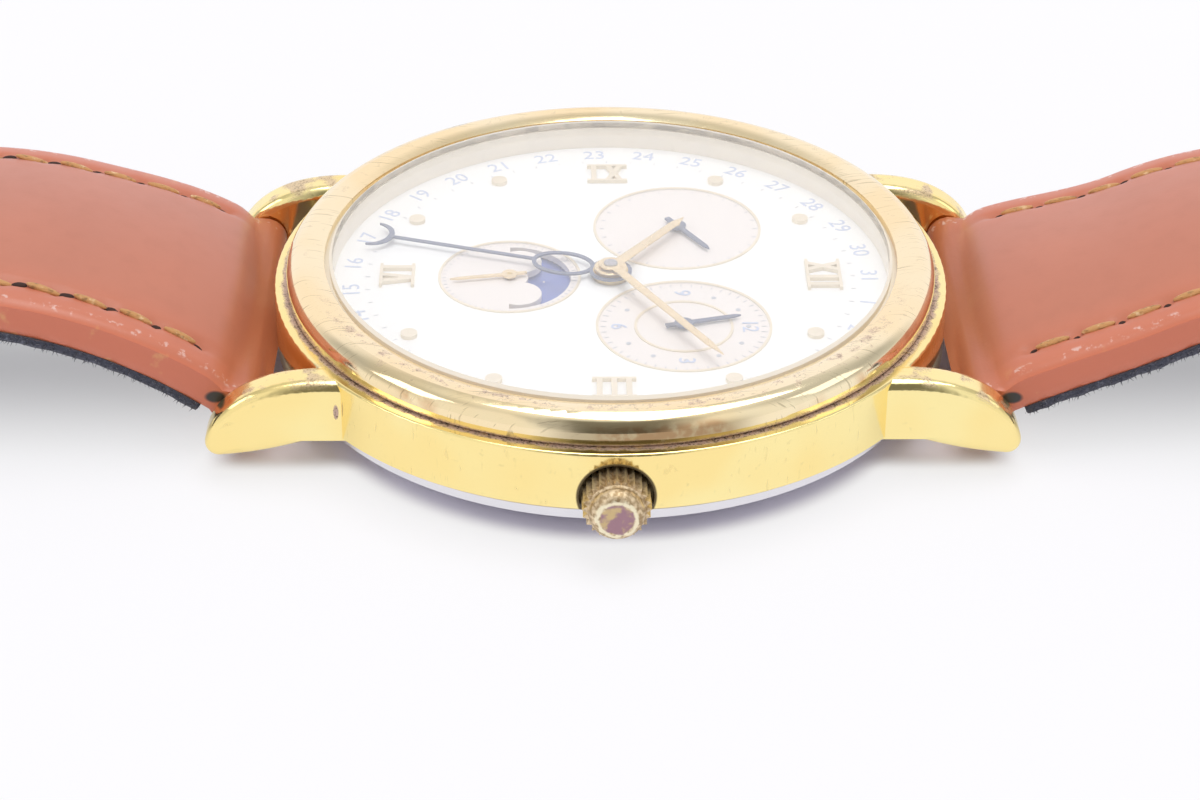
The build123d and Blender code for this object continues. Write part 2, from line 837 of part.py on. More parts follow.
def centre_wheel():
    """Centre wheel whose arbor carries the cannon pinion and the minute hand."""
    return train_wheel(centre_place, centre_module, centre_teeth, 3, third_place(), minute_hand_bottom)


def third_wheel():
    """Third wheel and pinion."""
    return (train_wheel(third_place(), third_module, third_teeth, 2, fourth_place, plate_pivot())
            + train_pinion(third_place(), centre_module, third_pinion_teeth, 3, centre_place))


def fourth_wheel():
    """Fourth wheel whose long arbor carries the seconds hand."""
    return (train_wheel(fourth_place, fourth_module, fourth_teeth, 1, fifth_place,
                        sub_hand_bottom + hand_thickness)
            + train_pinion(fourth_place, third_module, fourth_pinion_teeth, 2, third_place()))


def fifth_wheel():
    """Fifth wheel and pinion."""
    return (train_wheel(fifth_place, fifth_module, fifth_teeth, 0, rotor_place, plate_pivot())
            + train_pinion(fifth_place, fourth_module, fifth_pinion_teeth, 1, fourth_place))


def rotor():
    """Magnet rotor of the stepping motor with its pinion."""
    piece = disc(arbor_radius, bridge_top - jewel_thickness, plate_pivot() - bridge_top + jewel_thickness,
                 rotor_place)
    piece += train_pinion(rotor_place, fifth_module, rotor_pinion_teeth, 0, fifth_place)
    magnet_bottom = plate_bottom - stator_gap - rotor_height
    return piece + disc(rotor_radius, magnet_bottom, rotor_height, rotor_place)


def cannon_pinion():
    """Pinion on the centre arbor, whose pipe carries the minute hand."""
    bottom = plate_top + motion_level
    face = gear(cannon_module, cannon_teeth, minute_wheel_bearing, gap=True)
    pinion = Pos(0, 0, bottom) * extrude(face, calendar_thickness)
    pipe = disc(arbor_pipe_radius, bottom, minute_hand_bottom + hand_thickness + hand_hub_rise - bottom)
    return pinion + pipe - disc(arbor_radius + running_clearance, bottom, minute_hand_bottom - bottom)


def minute_wheel():
    """Intermediate wheel and pinion between the cannon pinion and the hour wheel."""
    x, y = minute_wheel_place
    bottom = plate_top + motion_level
    towards_centre = bearing(minute_wheel_place, centre_place)
    face = spoked_wheel(cannon_module, minute_wheel_teeth, arbor_radius, towards_centre)
    wheel = Pos(x, y, bottom) * extrude(face, calendar_thickness)
    pinion = Pos(x, y, bottom + calendar_thickness) * extrude(
        gear(hour_module, minute_pinion_teeth, towards_centre, gap=True), motion_level_step)
    return wheel + pinion - disc(minute_post_radius + running_clearance, bottom, plate_thickness, (x, y))


def hour_wheel():
    """Hour wheel with the pipe that carries the hour hand."""
    bottom = plate_top + motion_level + motion_level_step
    wheel = Pos(0, 0, bottom) * extrude(gear(hour_module, hour_wheel_teeth, minute_wheel_bearing),
                                        calendar_thickness)
    pipe = disc(hour_pipe_radius, bottom, hour_hand_bottom + hand_thickness - bottom)
    return wheel + pipe - disc(hour_pipe_bore, bottom, minute_hand_bottom - bottom)


def date_wheel():
    """Date wheel with 31 teeth and the pipe that carries the date pointer."""
    bottom = plate_top + calendar_level
    face = star(date_wheel_radius, date_wheel_radius - calendar_tooth_depth, date_wheel_teeth)
    wheel = Pos(0, 0, bottom) * extrude(face, calendar_thickness)
    pipe = disc(date_pipe_radius, bottom, date_hand_bottom + hand_thickness - bottom)
    return wheel + pipe - disc(date_pipe_bore, bottom, minute_hand_bottom - bottom)


def calendar_star(teeth, place):
    """Star wheel and arbor of a calendar subdial."""
    bottom = plate_top + calendar_level
    face = star(star_radius, star_radius - calendar_tooth_depth, teeth)
    wheel = Pos(place[0], place[1], bottom) * extrude(face, calendar_thickness)
    start = plate_top - jewel_thickness
    return wheel + disc(arbor_radius, start, sub_hand_bottom + hand_thickness - start, place)


def moon_disc():
    """Toothed disc that shows its face in the dial's window."""
    face = star(moon_disc_radius, moon_disc_radius - moon_tooth_depth, moon_disc_teeth)
    face -= Circle(moon_tube_radius + pipe_gap)
    return Pos(0, moon_dial_y, plate_top + moon_level) * extrude(face, moon_disc_thickness)


# Movement frame, motor, battery and circuit


def train_places():
    """Arbors that run between the bridge and the main plate."""
    return (centre_place, third_place(), fourth_place, fifth_place, rotor_place)


def main_plate():
    """Main plate with a raised rim, pillars for the bridge, pivots' holes and the stem's slot."""
    plate = disc(movement_radius, plate_bottom, plate_thickness)
    plate += ring(movement_radius, movement_radius - plate_rim_width, plate_top, dial_bottom - plate_top)
    for place in pillar_places:
        plate += disc(pillar_radius, bridge_top, plate_bottom - bridge_top, place)
        plate -= disc(screw_shank_radius, bridge_top, plate_bottom - bridge_top, place)
    plate += disc(moon_tube_radius, plate_top, moon_level + moon_disc_thickness + running_clearance,
                  fourth_place)
    plate += disc(minute_post_radius, plate_top, motion_level + calendar_thickness + motion_level_step,
                  minute_wheel_place)
    pivot = arbor_radius + running_clearance
    for place in (third_place(), fifth_place, rotor_place):
        plate -= disc(pivot, plate_bottom, jewel_thickness + running_clearance, place)
    for place in (month_dial_place, day_dial_place):
        plate -= disc(pivot, plate_top - jewel_thickness - running_clearance,
                      jewel_thickness + running_clearance, place)
    plate -= disc(pivot, plate_bottom, plate_thickness)
    plate -= disc(moon_tube_bore, plate_bottom, dial_bottom - plate_bottom, fourth_place)
    for angle in dial_feet_angles:
        foot = hour_place(angle, movement_radius - plate_rim_width / 2)
        plate -= disc(dial_foot_radius, dial_bottom - dial_foot_length, dial_foot_length, foot)
    slot_radius = clutch_radius + clutch_slot_clearance
    slot_start = stem_inner_x - clutch_slot_room
    slot_end = clutch_x + clutch_length + crown_travel + clutch_slot_room
    plate -= along_x(disc(slot_radius, 0, slot_end - slot_start), slot_start, crown_height)
    plate -= along_x(disc(tube_bore_radius, 0, movement_radius), slot_start, crown_height)
    return plate


def train_bridge():
    """Flat bridge over the going train, cut back round the battery and the coil."""
    kept = Rectangle(2 * bridge_radius, 2 * bridge_radius, align=(Align.MAX, Align.MAX))
    area = Circle(bridge_radius) & Pos(bridge_edge_x, bridge_edge_y) * kept
    area -= Pos(*battery_place) * Circle(battery_radius + battery_clearance)
    bridge = Pos(0, 0, bridge_bottom) * extrude(area, bridge_thickness)
    for place in train_places():
        bridge -= disc(jewel_radius, bridge_top - jewel_thickness, jewel_thickness, place)
    for place in pillar_places:
        bridge -= disc(screw_shank_radius, bridge_bottom, bridge_thickness, place)
    return bridge


def jewels():
    """Bearing stones of the bridge."""
    return [ring(jewel_radius, arbor_radius + running_clearance, bridge_top - jewel_thickness,
                 jewel_thickness, place) for place in train_places()]


def bridge_screws():
    """Screws that hold the bridge to the pillars."""
    return [disc(screw_head_radius, bridge_bottom - screw_head_height, screw_head_height, place)
            + disc(screw_shank_radius, bridge_bottom, plate_bottom - bridge_bottom, place)
            for place in pillar_places]


def movement_holder():
    """Plastic ring between the movement and the case, with a way through for the stem."""
    holder = ring(case_bore_radius - holder_gap, movement_radius + holder_clearance, holder_bottom,
                  dial_bottom - holder_bottom)
    return holder - along_x(disc(tube_radius, 0, case_radius - stem_inner_x), stem_inner_x, crown_height)


def bar_between(start, end, width):
    """Flat bar between two points."""
    middle = ((start[0] + end[0]) / 2, (start[1] + end[1]) / 2)
    length = hypot(end[0] - start[0], end[1] - start[1])
    return Pos(*middle) * Rot(0, 0, bearing(start, end)) * Rectangle(length, width)


def stator():
    """Soft iron stator: a pole round the rotor and an arm to each end of the coil's core."""
    lower_end = (coil_x, -stator_end_y)
    upper_end = (coil_x, stator_end_y)
    face = Pos(*rotor_place) * Circle(stator_pole_radius)
    face += bar_between(rotor_place, lower_end, stator_arm_width)
    face += bar_between(rotor_place, stator_elbow, stator_arm_width)
    face += bar_between(stator_elbow, upper_end, stator_arm_width)
    face += Pos(*stator_elbow) * Circle(stator_arm_width / 2)
    face += Pos(*lower_end) * Circle(stator_arm_width / 2)
    face += Pos(*upper_end) * Circle(stator_arm_width / 2)
    face -= Pos(*rotor_place) * Circle(stator_hole_radius)
    bottom = plate_bottom - stator_gap - stator_thickness
    return Pos(0, 0, bottom) * extrude(face, stator_thickness)


def coil_core():
    """Flat core that joins the arms of the stator through the coil."""
    top = plate_bottom - stator_gap - stator_thickness
    core = Box(core_width, 2 * core_half_length, core_thickness,
               align=(Align.CENTER, Align.CENTER, Align.MAX))
    return Pos(coil_x, 0, top) * core


def coil_winding():
    """Copper winding of the coil, as one round body."""
    middle = plate_bottom - stator_gap - stator_thickness - core_thickness / 2
    winding = Pos(coil_x, 0, middle) * Cylinder(coil_radius, 2 * coil_half_length, rotation=(90, 0, 0))
    return winding - coil_core()


def battery():
    """Button cell with its stepped underside."""
    top = plate_bottom - stator_gap
    bottom = top - battery_thickness
    cell = disc(battery_radius, bottom + battery_step, battery_thickness - battery_step)
    cell += disc(battery_radius - battery_step, bottom, battery_step)
    return Pos(battery_place[0], battery_place[1], 0) * cell


def battery_clamp():
    """Thin spring strip across the underside of the battery."""
    bottom = plate_bottom - stator_gap - battery_thickness - clamp_thickness
    reach = battery_radius + clamp_overhang
    across = bearing(centre_place, battery_place) + full_turn / 4
    strip = Pos(*battery_place) * Rot(0, 0, across) * Rectangle(2 * reach, clamp_width)
    strip &= Circle(back_floor_radius)
    return Pos(0, 0, bottom) * extrude(strip, clamp_thickness)


def circuit_board():
    """Board as a sector of a ring between the battery and the stem."""
    inner = CenterArc((0, 0), circuit_inner_radius, circuit_start, circuit_sweep)
    outer = CenterArc((0, 0), circuit_outer_radius, circuit_start, circuit_sweep)
    face = make_face(inner + Line(inner @ 1, outer @ 1) + outer + Line(outer @ 0, inner @ 0))
    return Pos(0, 0, bridge_bottom) * extrude(face, circuit_thickness)


def quartz_can():
    """Metal can of the quartz on the circuit board."""
    height = bridge_bottom + circuit_thickness + crystal_can_radius
    can = Cylinder(crystal_can_radius, crystal_can_length, rotation=(0, 90, 0))
    return Pos(crystal_can_place[0], crystal_can_place[1], height) * can


def circuit_chip():
    """Chip soldered to the circuit board."""
    chip = Box(chip_size, chip_size, chip_height, align=(Align.CENTER, Align.CENTER, Align.MIN))
    return Pos(chip_place[0], chip_place[1], bridge_bottom + circuit_thickness) * chip


# Spring bars


def spring_bar_tube(half_length, y, height):
    """Tube of a spring bar, drawn in at both ends."""
    lip = half_length - bar_lip
    tube = turned([(bar_radius, -half_length), (bar_radius, half_length), (tip_hole_radius, half_length),
                   (tip_hole_radius, lip), (bar_bore, lip), (bar_bore, -lip), (tip_hole_radius, -lip),
                   (tip_hole_radius, -half_length)])
    return Pos(0, y, height) * Rot(0, 90, 0) * tube


def spring_bar_tip(half_length, face_x, side, y, height):
    """Tip of a spring bar: a plunger in the tube and a pivot that stands in its hole."""
    inner = half_length - bar_lip - tip_plunger_length
    tip = disc(tip_plunger_radius, inner, tip_plunger_length)
    tip += disc(tip_radius, inner, face_x + tip_engagement - inner)
    return Pos(0, y, height) * Rot(0, 90 * side, 0) * tip


# Strap


def strap_stretches(start_height, start_angle, lead, crest_bend, fall_angle, foot_bend, end_height, length):
    """Side view of a strap as (length, turn) stretches: a rise, a crest, a fall, a foot and a flat end."""
    rise_angle, drop_angle = radians(start_angle), radians(fall_angle)
    crest = start_height + lead * sin(rise_angle) + crest_bend * (1 - cos(rise_angle))
    fall_from = crest - crest_bend * (1 - cos(drop_angle))
    fall_to = end_height + foot_bend * (1 - cos(drop_angle))
    fall = (fall_from - fall_to) / sin(drop_angle)
    turned_length = crest_bend * (rise_angle + drop_angle)
    foot_length = foot_bend * drop_angle
    flat = length - lead - turned_length - fall - foot_length
    return ((lead, 0), (turned_length, -start_angle - fall_angle), (fall, 0), (foot_length, fall_angle),
            (flat, 0))


long_stretches = strap_stretches(bar_height, long_start_angle, long_lead, long_crest_bend, long_fall_angle,
                                 long_foot_bend, strap_half, long_length)
short_flat_height = keeper_wall + keeper_lift + strap_half
short_stretches = strap_stretches(bar_height, short_start_angle, short_lead, short_crest_bend,
                                  short_fall_angle, short_foot_bend, short_flat_height, short_length)


def walk(stretches, start_angle, distance):
    """Place (y, z) and slope of the middle line at a distance from the spring bar."""
    y, z, angle = bar_y, bar_height, start_angle
    for length, turn in stretches:
        step = min(distance, length)
        part = turn * step / length
        bearing = radians(angle + part / 2)
        chord = step if turn == 0 else 2 * step * sin(radians(part) / 2) / radians(part)
        y, z, angle = y + chord * cos(bearing), z + chord * sin(bearing), angle + part
        distance -= step
        if distance <= 0:
            break
    return y, z, angle


def eased(share):
    """Smooth step from 0 to 1."""
    share = min(1, max(0, share))
    return share * share * (3 - 2 * share)


def along_strap(distance, start, middle, end):
    """A size that swells from the spring bar to the padding and then thins towards the end."""
    swell = start + (middle - start) * eased(distance / padding_start)
    return swell + (end - swell) * eased((distance - padding_start) / padding_length)


def strap_half_width(distance):
    """Half the width of the strap, which narrows evenly from the lugs."""
    return (strap_width + (strap_end_width - strap_width) * min(1, distance / strap_width_taper)) / 2


def section_plane(stretches, start_angle, distance):
    """Plane across the strap, with its up direction away from the wrist."""
    y, z, angle = walk(stretches, start_angle, distance)
    return Plane(origin=(0, y, z), x_dir=(-1, 0, 0), z_dir=(0, cos(radians(angle)), sin(radians(angle))))


def leather_section(stretches, start_angle, distance):
    """Section of the leather: flat under, square edges and a padded crown."""
    half = strap_half_width(distance)
    low = lining_thickness - strap_half
    edge = along_strap(distance, edge_height_start, edge_height, edge_height_end)
    crest = along_strap(distance, crown_of_leather_start, crown_of_leather, crown_of_leather_end)
    face = make_face(Polyline((half, edge), (half, low), (-half, low), (-half, edge))
                     + ThreePointArc((-half, edge), (0, crest), (half, edge)))
    return section_plane(stretches, start_angle, distance) * face


def lining_section(stretches, start_angle, distance):
    """Section of the lining: a thin flat band."""
    half = strap_half_width(distance)
    low = lining_thickness - strap_half
    return section_plane(stretches, start_angle, distance) * outline(
        [(half, low), (half, -strap_half), (-half, -strap_half), (-half, low)])


def stops(start, length):
    """Even distances along a strap for its sections."""
    count = max(2, round((length - start) / section_pitch))
    return [start + (length - start) * step / count for step in range(count + 1)]


def strap_leather(stretches, start_angle, length):
    """Padded leather with its loop round the spring bar."""
    near = [lining_start * step / 2 for step in range(2)]
    body = loft([leather_section(stretches, start_angle, distance)
                 for distance in near + stops(lining_start, length)], ruled=True)
    loop = Cylinder(strap_half, strap_width, rotation=(0, 90, 0))
    bore = Cylinder(strap_bore, 2 * strap_width, rotation=(0, 90, 0))
    return body + Pos(0, bar_y, bar_height) * loop - Pos(0, bar_y, bar_height) * bore


def strap_lining(stretches, start_angle, length):
    """Lining under the leather, from just past the loop."""
    return loft([lining_section(stretches, start_angle, distance)
                 for distance in stops(lining_start, length)], ruled=True)


def tail_waste(stretches, start_angle, length):
    """What is cut away to point the tail of the long strap."""
    tip_y = walk(stretches, start_angle, length)[0]
    half = strap_half_width(length)
    start_y = tip_y - tail_point_length
    bulge = half * (1 + tail_point_bulge_share) / 2
    middle_y = start_y + tail_point_length * (1 + tail_point_bulge_share) / 2
    point = make_face(ThreePointArc((half, start_y), (bulge, middle_y), (0, tip_y))
                      + ThreePointArc((0, tip_y), (-bulge, middle_y), (-half, start_y))
                      + Line((-half, start_y), (half, start_y)))
    waste = Pos(0, start_y) * Rectangle(2 * strap_width, 2 * tail_point_length,
                                        align=(Align.CENTER, Align.MIN)) - point
    return extrude(waste, 2 * strap_half + crown_of_leather)


def buckle_holes(length):
    """Row of punched holes, first to last from the tail."""
    holes = []
    for hole in range(hole_count):
        distance = length - hole_first - hole * hole_pitch
        plane = section_plane(long_stretches, long_start_angle, distance)
        punch = Rot(90, 0, 0) * Cylinder(hole_radius, 4 * strap_half)
        holes.append(plane.location * punch)
    return holes


def long_strap():
    """Long strap at 6 o'clock with its pointed tail and holes."""
    leather = strap_leather(long_stretches, long_start_angle, long_length)
    lining = strap_lining(long_stretches, long_start_angle, long_length)
    waste = tail_waste(long_stretches, long_start_angle, long_length)
    pieces = []
    for piece in (leather, lining):
        piece -= waste
        for hole in buckle_holes(long_length):
            piece -= hole
        pieces.append(mirror(piece, Plane.XZ))
    return pieces


def short_strap():
    """Short strap at 12 o'clock with its loop and slot for the buckle."""
    leather = strap_leather(short_stretches, short_start_angle, short_length)
    lining = strap_lining(short_stretches, short_start_angle, short_length)
    loop = Cylinder(strap_half, strap_end_width, rotation=(0, 90, 0))
    bore = Cylinder(strap_bore, 2 * strap_width, rotation=(0, 90, 0))
    slot = Box(2 * buckle_slot_half, 2 * buckle_slot_length, 4 * strap_half)
    end = Pos(0, buckle_y, buckle_height)
    leather = leather + end * loop - end * bore - end * slot
    lining = lining - end * Cylinder(strap_half, 2 * strap_width, rotation=(0, 90, 0)) - end * slot
    return leather, lining


buckle_y, buckle_height = walk(short_stretches, short_start_angle, short_length)[:2]
buckle_inner_x = strap_end_width / 2 + buckle_arm_gap
buckle_outer_x = buckle_inner_x + buckle_arm_width
keeper_inner_x = strap_end_width / 2 + keeper_side_gap
fixed_keeper_y = buckle_y - fixed_keeper_gap - keeper_length
loose_keeper_y = fixed_keeper_y - loose_keeper_gap - keeper_length
strap_flat_start = walk(short_stretches, short_start_angle, sum(part[0] for part in short_stretches[:-1]))[0]
keeper_travel = loose_keeper_y - strap_flat_start
buckle_tilt = degrees(asin(buckle_height / hypot(buckle_reach, buckle_half_height))
                      - atan2(buckle_half_height, buckle_reach))


def keeper(y):
    """Leather loop with rounded corners round the short strap and room for the tail."""
    floor = buckle_height - strap_half - keeper_under_gap
    roof = buckle_height + crown_of_leather_end + keeper_room
    height = roof - floor + 2 * keeper_wall
    width = 2 * (keeper_inner_x + keeper_wall)
    outer = RectangleRounded(width, height, keeper_rounding + keeper_wall)
    inner = RectangleRounded(2 * keeper_inner_x, roof - floor, keeper_rounding)
    middle = (roof + floor) / 2
    return Pos(0, y + keeper_length, middle) * Rot(90, 0, 0) * extrude(outer - inner, keeper_length)


def buckle_frame():
    """Rounded frame with eyes for its spring bar, tilted so that the bow rests on the table."""
    outer = Rectangle(2 * buckle_outer_x, buckle_reach + buckle_eye_radius, align=(Align.CENTER, Align.MIN))
    outer = fillet(outer.vertices().group_by(Axis.Y)[-1], buckle_corner)
    opening = Rectangle(2 * buckle_inner_x, buckle_reach + buckle_eye_radius - buckle_bow_width,
                        align=(Align.CENTER, Align.MIN))
    opening = fillet(opening.vertices().group_by(Axis.Y)[-1], buckle_corner - buckle_arm_width)
    frame = Pos(0, -buckle_eye_radius, -buckle_half_height) * extrude(outer - opening, 2 * buckle_half_height)
    upper = [edge for edge in frame.edges() if edge.center().Z > buckle_half_height - running_clearance]
    frame = fillet(upper, buckle_rounding)
    for side in (-1, 1):
        frame -= Pos(side * buckle_inner_x, 0, 0) * Cylinder(tip_hole_radius, 2 * tip_engagement + bar_lip,
                                                             rotation=(0, 90, 0))
    return Pos(0, buckle_y, buckle_height) * Rot(-buckle_tilt, 0, 0) * frame


def buckle_tongue():
    """Tongue with a ring round the spring bar and a shank that lies on the bow."""
    bore = bar_radius + pipe_gap
    eye = Cylinder(bore + tongue_ring_wall, 2 * tongue_ring_half, rotation=(0, 90, 0))
    rest = buckle_half_height + tongue_rest_gap
    bow_start = buckle_reach - buckle_bow_width
    shank = outline([(0, rest - tongue_thickness), (bow_start, rest), (buckle_reach + tongue_overhang, rest),
                     (buckle_reach + tongue_overhang, rest + tongue_thickness / 2),
                     (bow_start, rest + tongue_thickness), (0, bore + tongue_ring_wall)])
    shank = Pos(-tongue_half_width, 0, 0) * extrude(Plane.YZ * shank, 2 * tongue_half_width)
    tongue = eye + shank - Cylinder(bore, 2 * buckle_inner_x, rotation=(0, 90, 0))
    return Pos(0, buckle_y, buckle_height) * Rot(-buckle_tilt, 0, 0) * tongue


# Every node and its solids


def build():
    """All nodes by name."""
    long_leather, long_lining = long_strap()
    short_leather, short_lining = short_strap()
    nodes = {
        "case_middle": case_middle(),
        "bezel": bezel(),
        "crystal": crystal(),
        "crystal_gasket": crystal_gasket(),
        "case_back": case_back(),
        "case_back_gasket": back_gasket(),
        "crown": crown(),
        "crown_gasket": crown_gasket(),
        "crown_tube": crown_tube(),
        "stem": stem(),
        "sliding_pinion": clutch(),
        "setting_yoke": setting_yoke(),
        "dial": dial(),
        "subdial_rings": subdial_rings(),
        "hour_markers": hour_markers(),
        "minute_hand": minute_hand(),
        "hour_hand": hour_hand(),
        "date_hand": date_hand(),
        "seconds_hand": seconds_hand(),
        "day_hand": calendar_hand(day_hand_angle, day_dial_place),
        "month_hand": calendar_hand(month_hand_angle, month_dial_place),
        "main_plate": main_plate(),
        "movement_holder": movement_holder(),
        "train_bridge": train_bridge(),
        "bridge_jewels": jewels(),
        "bridge_screws": bridge_screws(),
        "centre_wheel": centre_wheel(),
        "third_wheel": third_wheel(),
        "fourth_wheel": fourth_wheel(),
        "fifth_wheel": fifth_wheel(),
        "motor_rotor": rotor(),
        "cannon_pinion": cannon_pinion(),
        "minute_wheel": minute_wheel(),
        "hour_wheel": hour_wheel(),
        "date_wheel": date_wheel(),
        "day_star_wheel": calendar_star(day_star_teeth, day_dial_place),
        "month_star_wheel": calendar_star(month_star_teeth, month_dial_place),
        "moon_disc": moon_disc(),
        "motor_stator": stator(),
        "coil_core": coil_core(),
        "coil_winding": coil_winding(),
        "battery": battery(),
        "battery_clamp": battery_clamp(),
        "circuit_board": circuit_board() + circuit_chip(),
        "quartz_can": quartz_can(),
        "long_strap_leather": long_leather,
        "long_strap_lining": long_lining,
        "short_strap_leather": short_leather,
        "short_strap_lining": short_lining,
        "fixed_keeper": keeper(fixed_keeper_y),
        "loose_keeper": keeper(loose_keeper_y),
        "buckle_frame": buckle_frame(),
        "buckle_tongue": buckle_tongue(),
    }
    lug_half = lug_inner_x - bar_end_gap
    buckle_half = buckle_inner_x - bar_end_gap
    nodes["spring_bar_tubes"] = [spring_bar_tube(lug_half, y, bar_height) for y in (-bar_y, bar_y)]
    for end_name, y in (("upper", bar_y), ("lower", -bar_y)):
        for side_name, side in (("right", 1), ("left", -1)):
            tip = spring_bar_tip(lug_half, lug_inner_x, side, y, bar_height)
            nodes[f"{end_name}_{side_name}_bar_tip"] = tip
    nodes["buckle_bar_tube"] = spring_bar_tube(buckle_half, buckle_y, buckle_height)
    nodes["buckle_bar_tips"] = [spring_bar_tip(buckle_half, buckle_inner_x, side, buckle_y, buckle_height)
                                for side in (-1, 1)]
    return nodes


def save(name, shape):
    """One STEP file for a node, with separate solids kept apart."""
    solids = shape if isinstance(shape, list) else [shape]
    parts = [solid for piece in solids for solid in piece.solids()]
    whole = parts[0] if len(parts) == 1 else Compound(children=parts)
    whole.label = name
    export_step(whole, f"parts/{name}.step")


os.makedirs("parts", exist_ok=True)
for node_name, node_shape in build().items():
    save(node_name, node_shape)
print("buckle bar at", round(buckle_y, 3), round(buckle_height, 3), "tilt", round(buckle_tilt, 3))
print("keeper travel", round(keeper_travel, 3), "third wheel at", third_place())
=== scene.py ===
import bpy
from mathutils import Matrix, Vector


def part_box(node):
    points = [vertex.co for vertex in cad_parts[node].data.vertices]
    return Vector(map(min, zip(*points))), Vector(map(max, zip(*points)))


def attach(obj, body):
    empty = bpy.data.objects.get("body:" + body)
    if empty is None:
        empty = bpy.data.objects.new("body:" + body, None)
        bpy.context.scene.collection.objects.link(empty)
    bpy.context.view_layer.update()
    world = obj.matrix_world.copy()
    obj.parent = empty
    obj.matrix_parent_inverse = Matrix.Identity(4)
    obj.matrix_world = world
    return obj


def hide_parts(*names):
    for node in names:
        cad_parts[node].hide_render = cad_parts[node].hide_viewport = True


bl_info = {
    "name": "Moon phase watch",
    "version": (1, 0, 0),
    "blender": (4, 5, 0),
    "location": "View3D > Sidebar > Watch",
    "description": "Finishes the moon phase watch over its CAD frame and sets its stage",
    "category": "Object",
}

from math import cos, hypot, pi, radians, sin, sqrt

import bmesh
import bpy
from bpy.props import FloatProperty, FloatVectorProperty, IntProperty, PointerProperty
from mathutils import Matrix, Vector

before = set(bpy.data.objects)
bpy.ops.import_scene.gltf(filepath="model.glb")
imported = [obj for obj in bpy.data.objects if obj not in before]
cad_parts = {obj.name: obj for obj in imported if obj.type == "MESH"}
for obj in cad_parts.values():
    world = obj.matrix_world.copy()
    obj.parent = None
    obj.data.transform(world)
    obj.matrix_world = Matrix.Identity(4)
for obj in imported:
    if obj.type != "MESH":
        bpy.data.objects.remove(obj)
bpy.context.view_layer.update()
MM = 0.001
FULL_TURN = 2 * pi


def middle(node):
    """Centre of a CAD node's box."""
    low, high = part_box(node)
    return (low + high) / 2


# Places that the CAD model gives, in metres

BEZEL_LOW, BEZEL_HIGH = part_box("bezel")
CASE_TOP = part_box("case_middle")[1].z
CROWN_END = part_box("crown")[1].x
CROWN_HEIGHT = middle("crown").z
DIAL_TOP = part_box("hour_markers")[0].z
MOON_CENTRE = Vector((0, middle("moon_disc").y))
MONTH_CENTRE = middle("month_star_wheel").xy
DAY_CENTRE = middle("day_star_wheel").xy


# Node trees written as expressions


class Wire:
    """A socket whose arithmetic adds Math nodes to its tree."""

    def __init__(self, tree, socket):
        self.tree = tree
        self.socket = socket

    def math(self, operation, *values):
        return self.tree.add("ShaderNodeMath", {"operation": operation}, dict(enumerate(values)))

    def __add__(self, other):
        return self.math("ADD", self, other)

    __radd__ = __add__

    def __sub__(self, other):
        return self.math("SUBTRACT", self, other)

    def __rsub__(self, other):
        return self.math("SUBTRACT", other, self)

    def __mul__(self, other):
        return self.math("MULTIPLY", self, other)

    __rmul__ = __mul__

    def __abs__(self):
        return self.math("ABSOLUTE", self)

    def at_most(self, other):
        return self.math("MINIMUM", self, other)

    def at_least(self, other):
        return self.math("MAXIMUM", self, other)

    def root(self):
        return self.math("SQRT", self)

    def sine(self):
        return self.math("SINE", self)

    def wave(self):
        """Sine of the value, moved to run from 0 to 1."""
        return self.sine() * 0.5 + 0.5

    def step(self, low, high):
        """Smooth rise from 0 to 1 between two values."""
        return self.tree.add("ShaderNodeMapRange", {"interpolation_type": "SMOOTHSTEP"},
                             {"Value": self, "From Min": low, "From Max": high})


class Tree:
    """A node tree, the method that adds nodes to it, and the nodes that several trees share."""

    def __init__(self, tree):
        self.tree = tree

    def add(self, kind, settings=None, sockets=None, output=0):
        """Adds a node: settings first, then the values or links of its sockets."""
        node = self.tree.nodes.new(kind)
        for key, value in (settings or {}).items():
            if key == "stops":
                ramp = node.color_ramp
                while len(ramp.elements) < len(value):
                    ramp.elements.new(0.5)
                for element, (place, colour) in zip(ramp.elements, value):
                    element.position = place
                    element.color = (*colour, 1)
            else:
                setattr(node, key, value)
        for key, value in (sockets or {}).items():
            if isinstance(value, Wire):
                self.tree.links.new(value.socket, node.inputs[key])
            else:
                node.inputs[key].default_value = value
        return Wire(self, node.outputs[output]) if node.outputs else node

    def split(self, place):
        """The X, Y and Z of a place."""
        node = self.add("ShaderNodeSeparateXYZ", None, {0: place}).socket.node
        return [Wire(self, node.outputs[axis]) for axis in "XYZ"]

    def mix(self, low, high, factor):
        """Colour between two colours."""
        low = low if isinstance(low, Wire) else (*low, 1)
        high = high if isinstance(high, Wire) else (*high, 1)
        return self.add("ShaderNodeMix", {"data_type": "RGBA"}, {0: factor, 6: low, 7: high},
                        output=2)

    def layers(self, base, *layers):
        """Colours laid over a base one after another, each with its factor."""
        for tint, factor in layers:
            base = self.mix(base, tint, factor)
        return base

    def ray(self, kind):
        """1 for rays of one kind: Camera, Shadow, Diffuse, Glossy or Transmission."""
        return self.add("ShaderNodeLightPath", output=f"Is {kind} Ray")


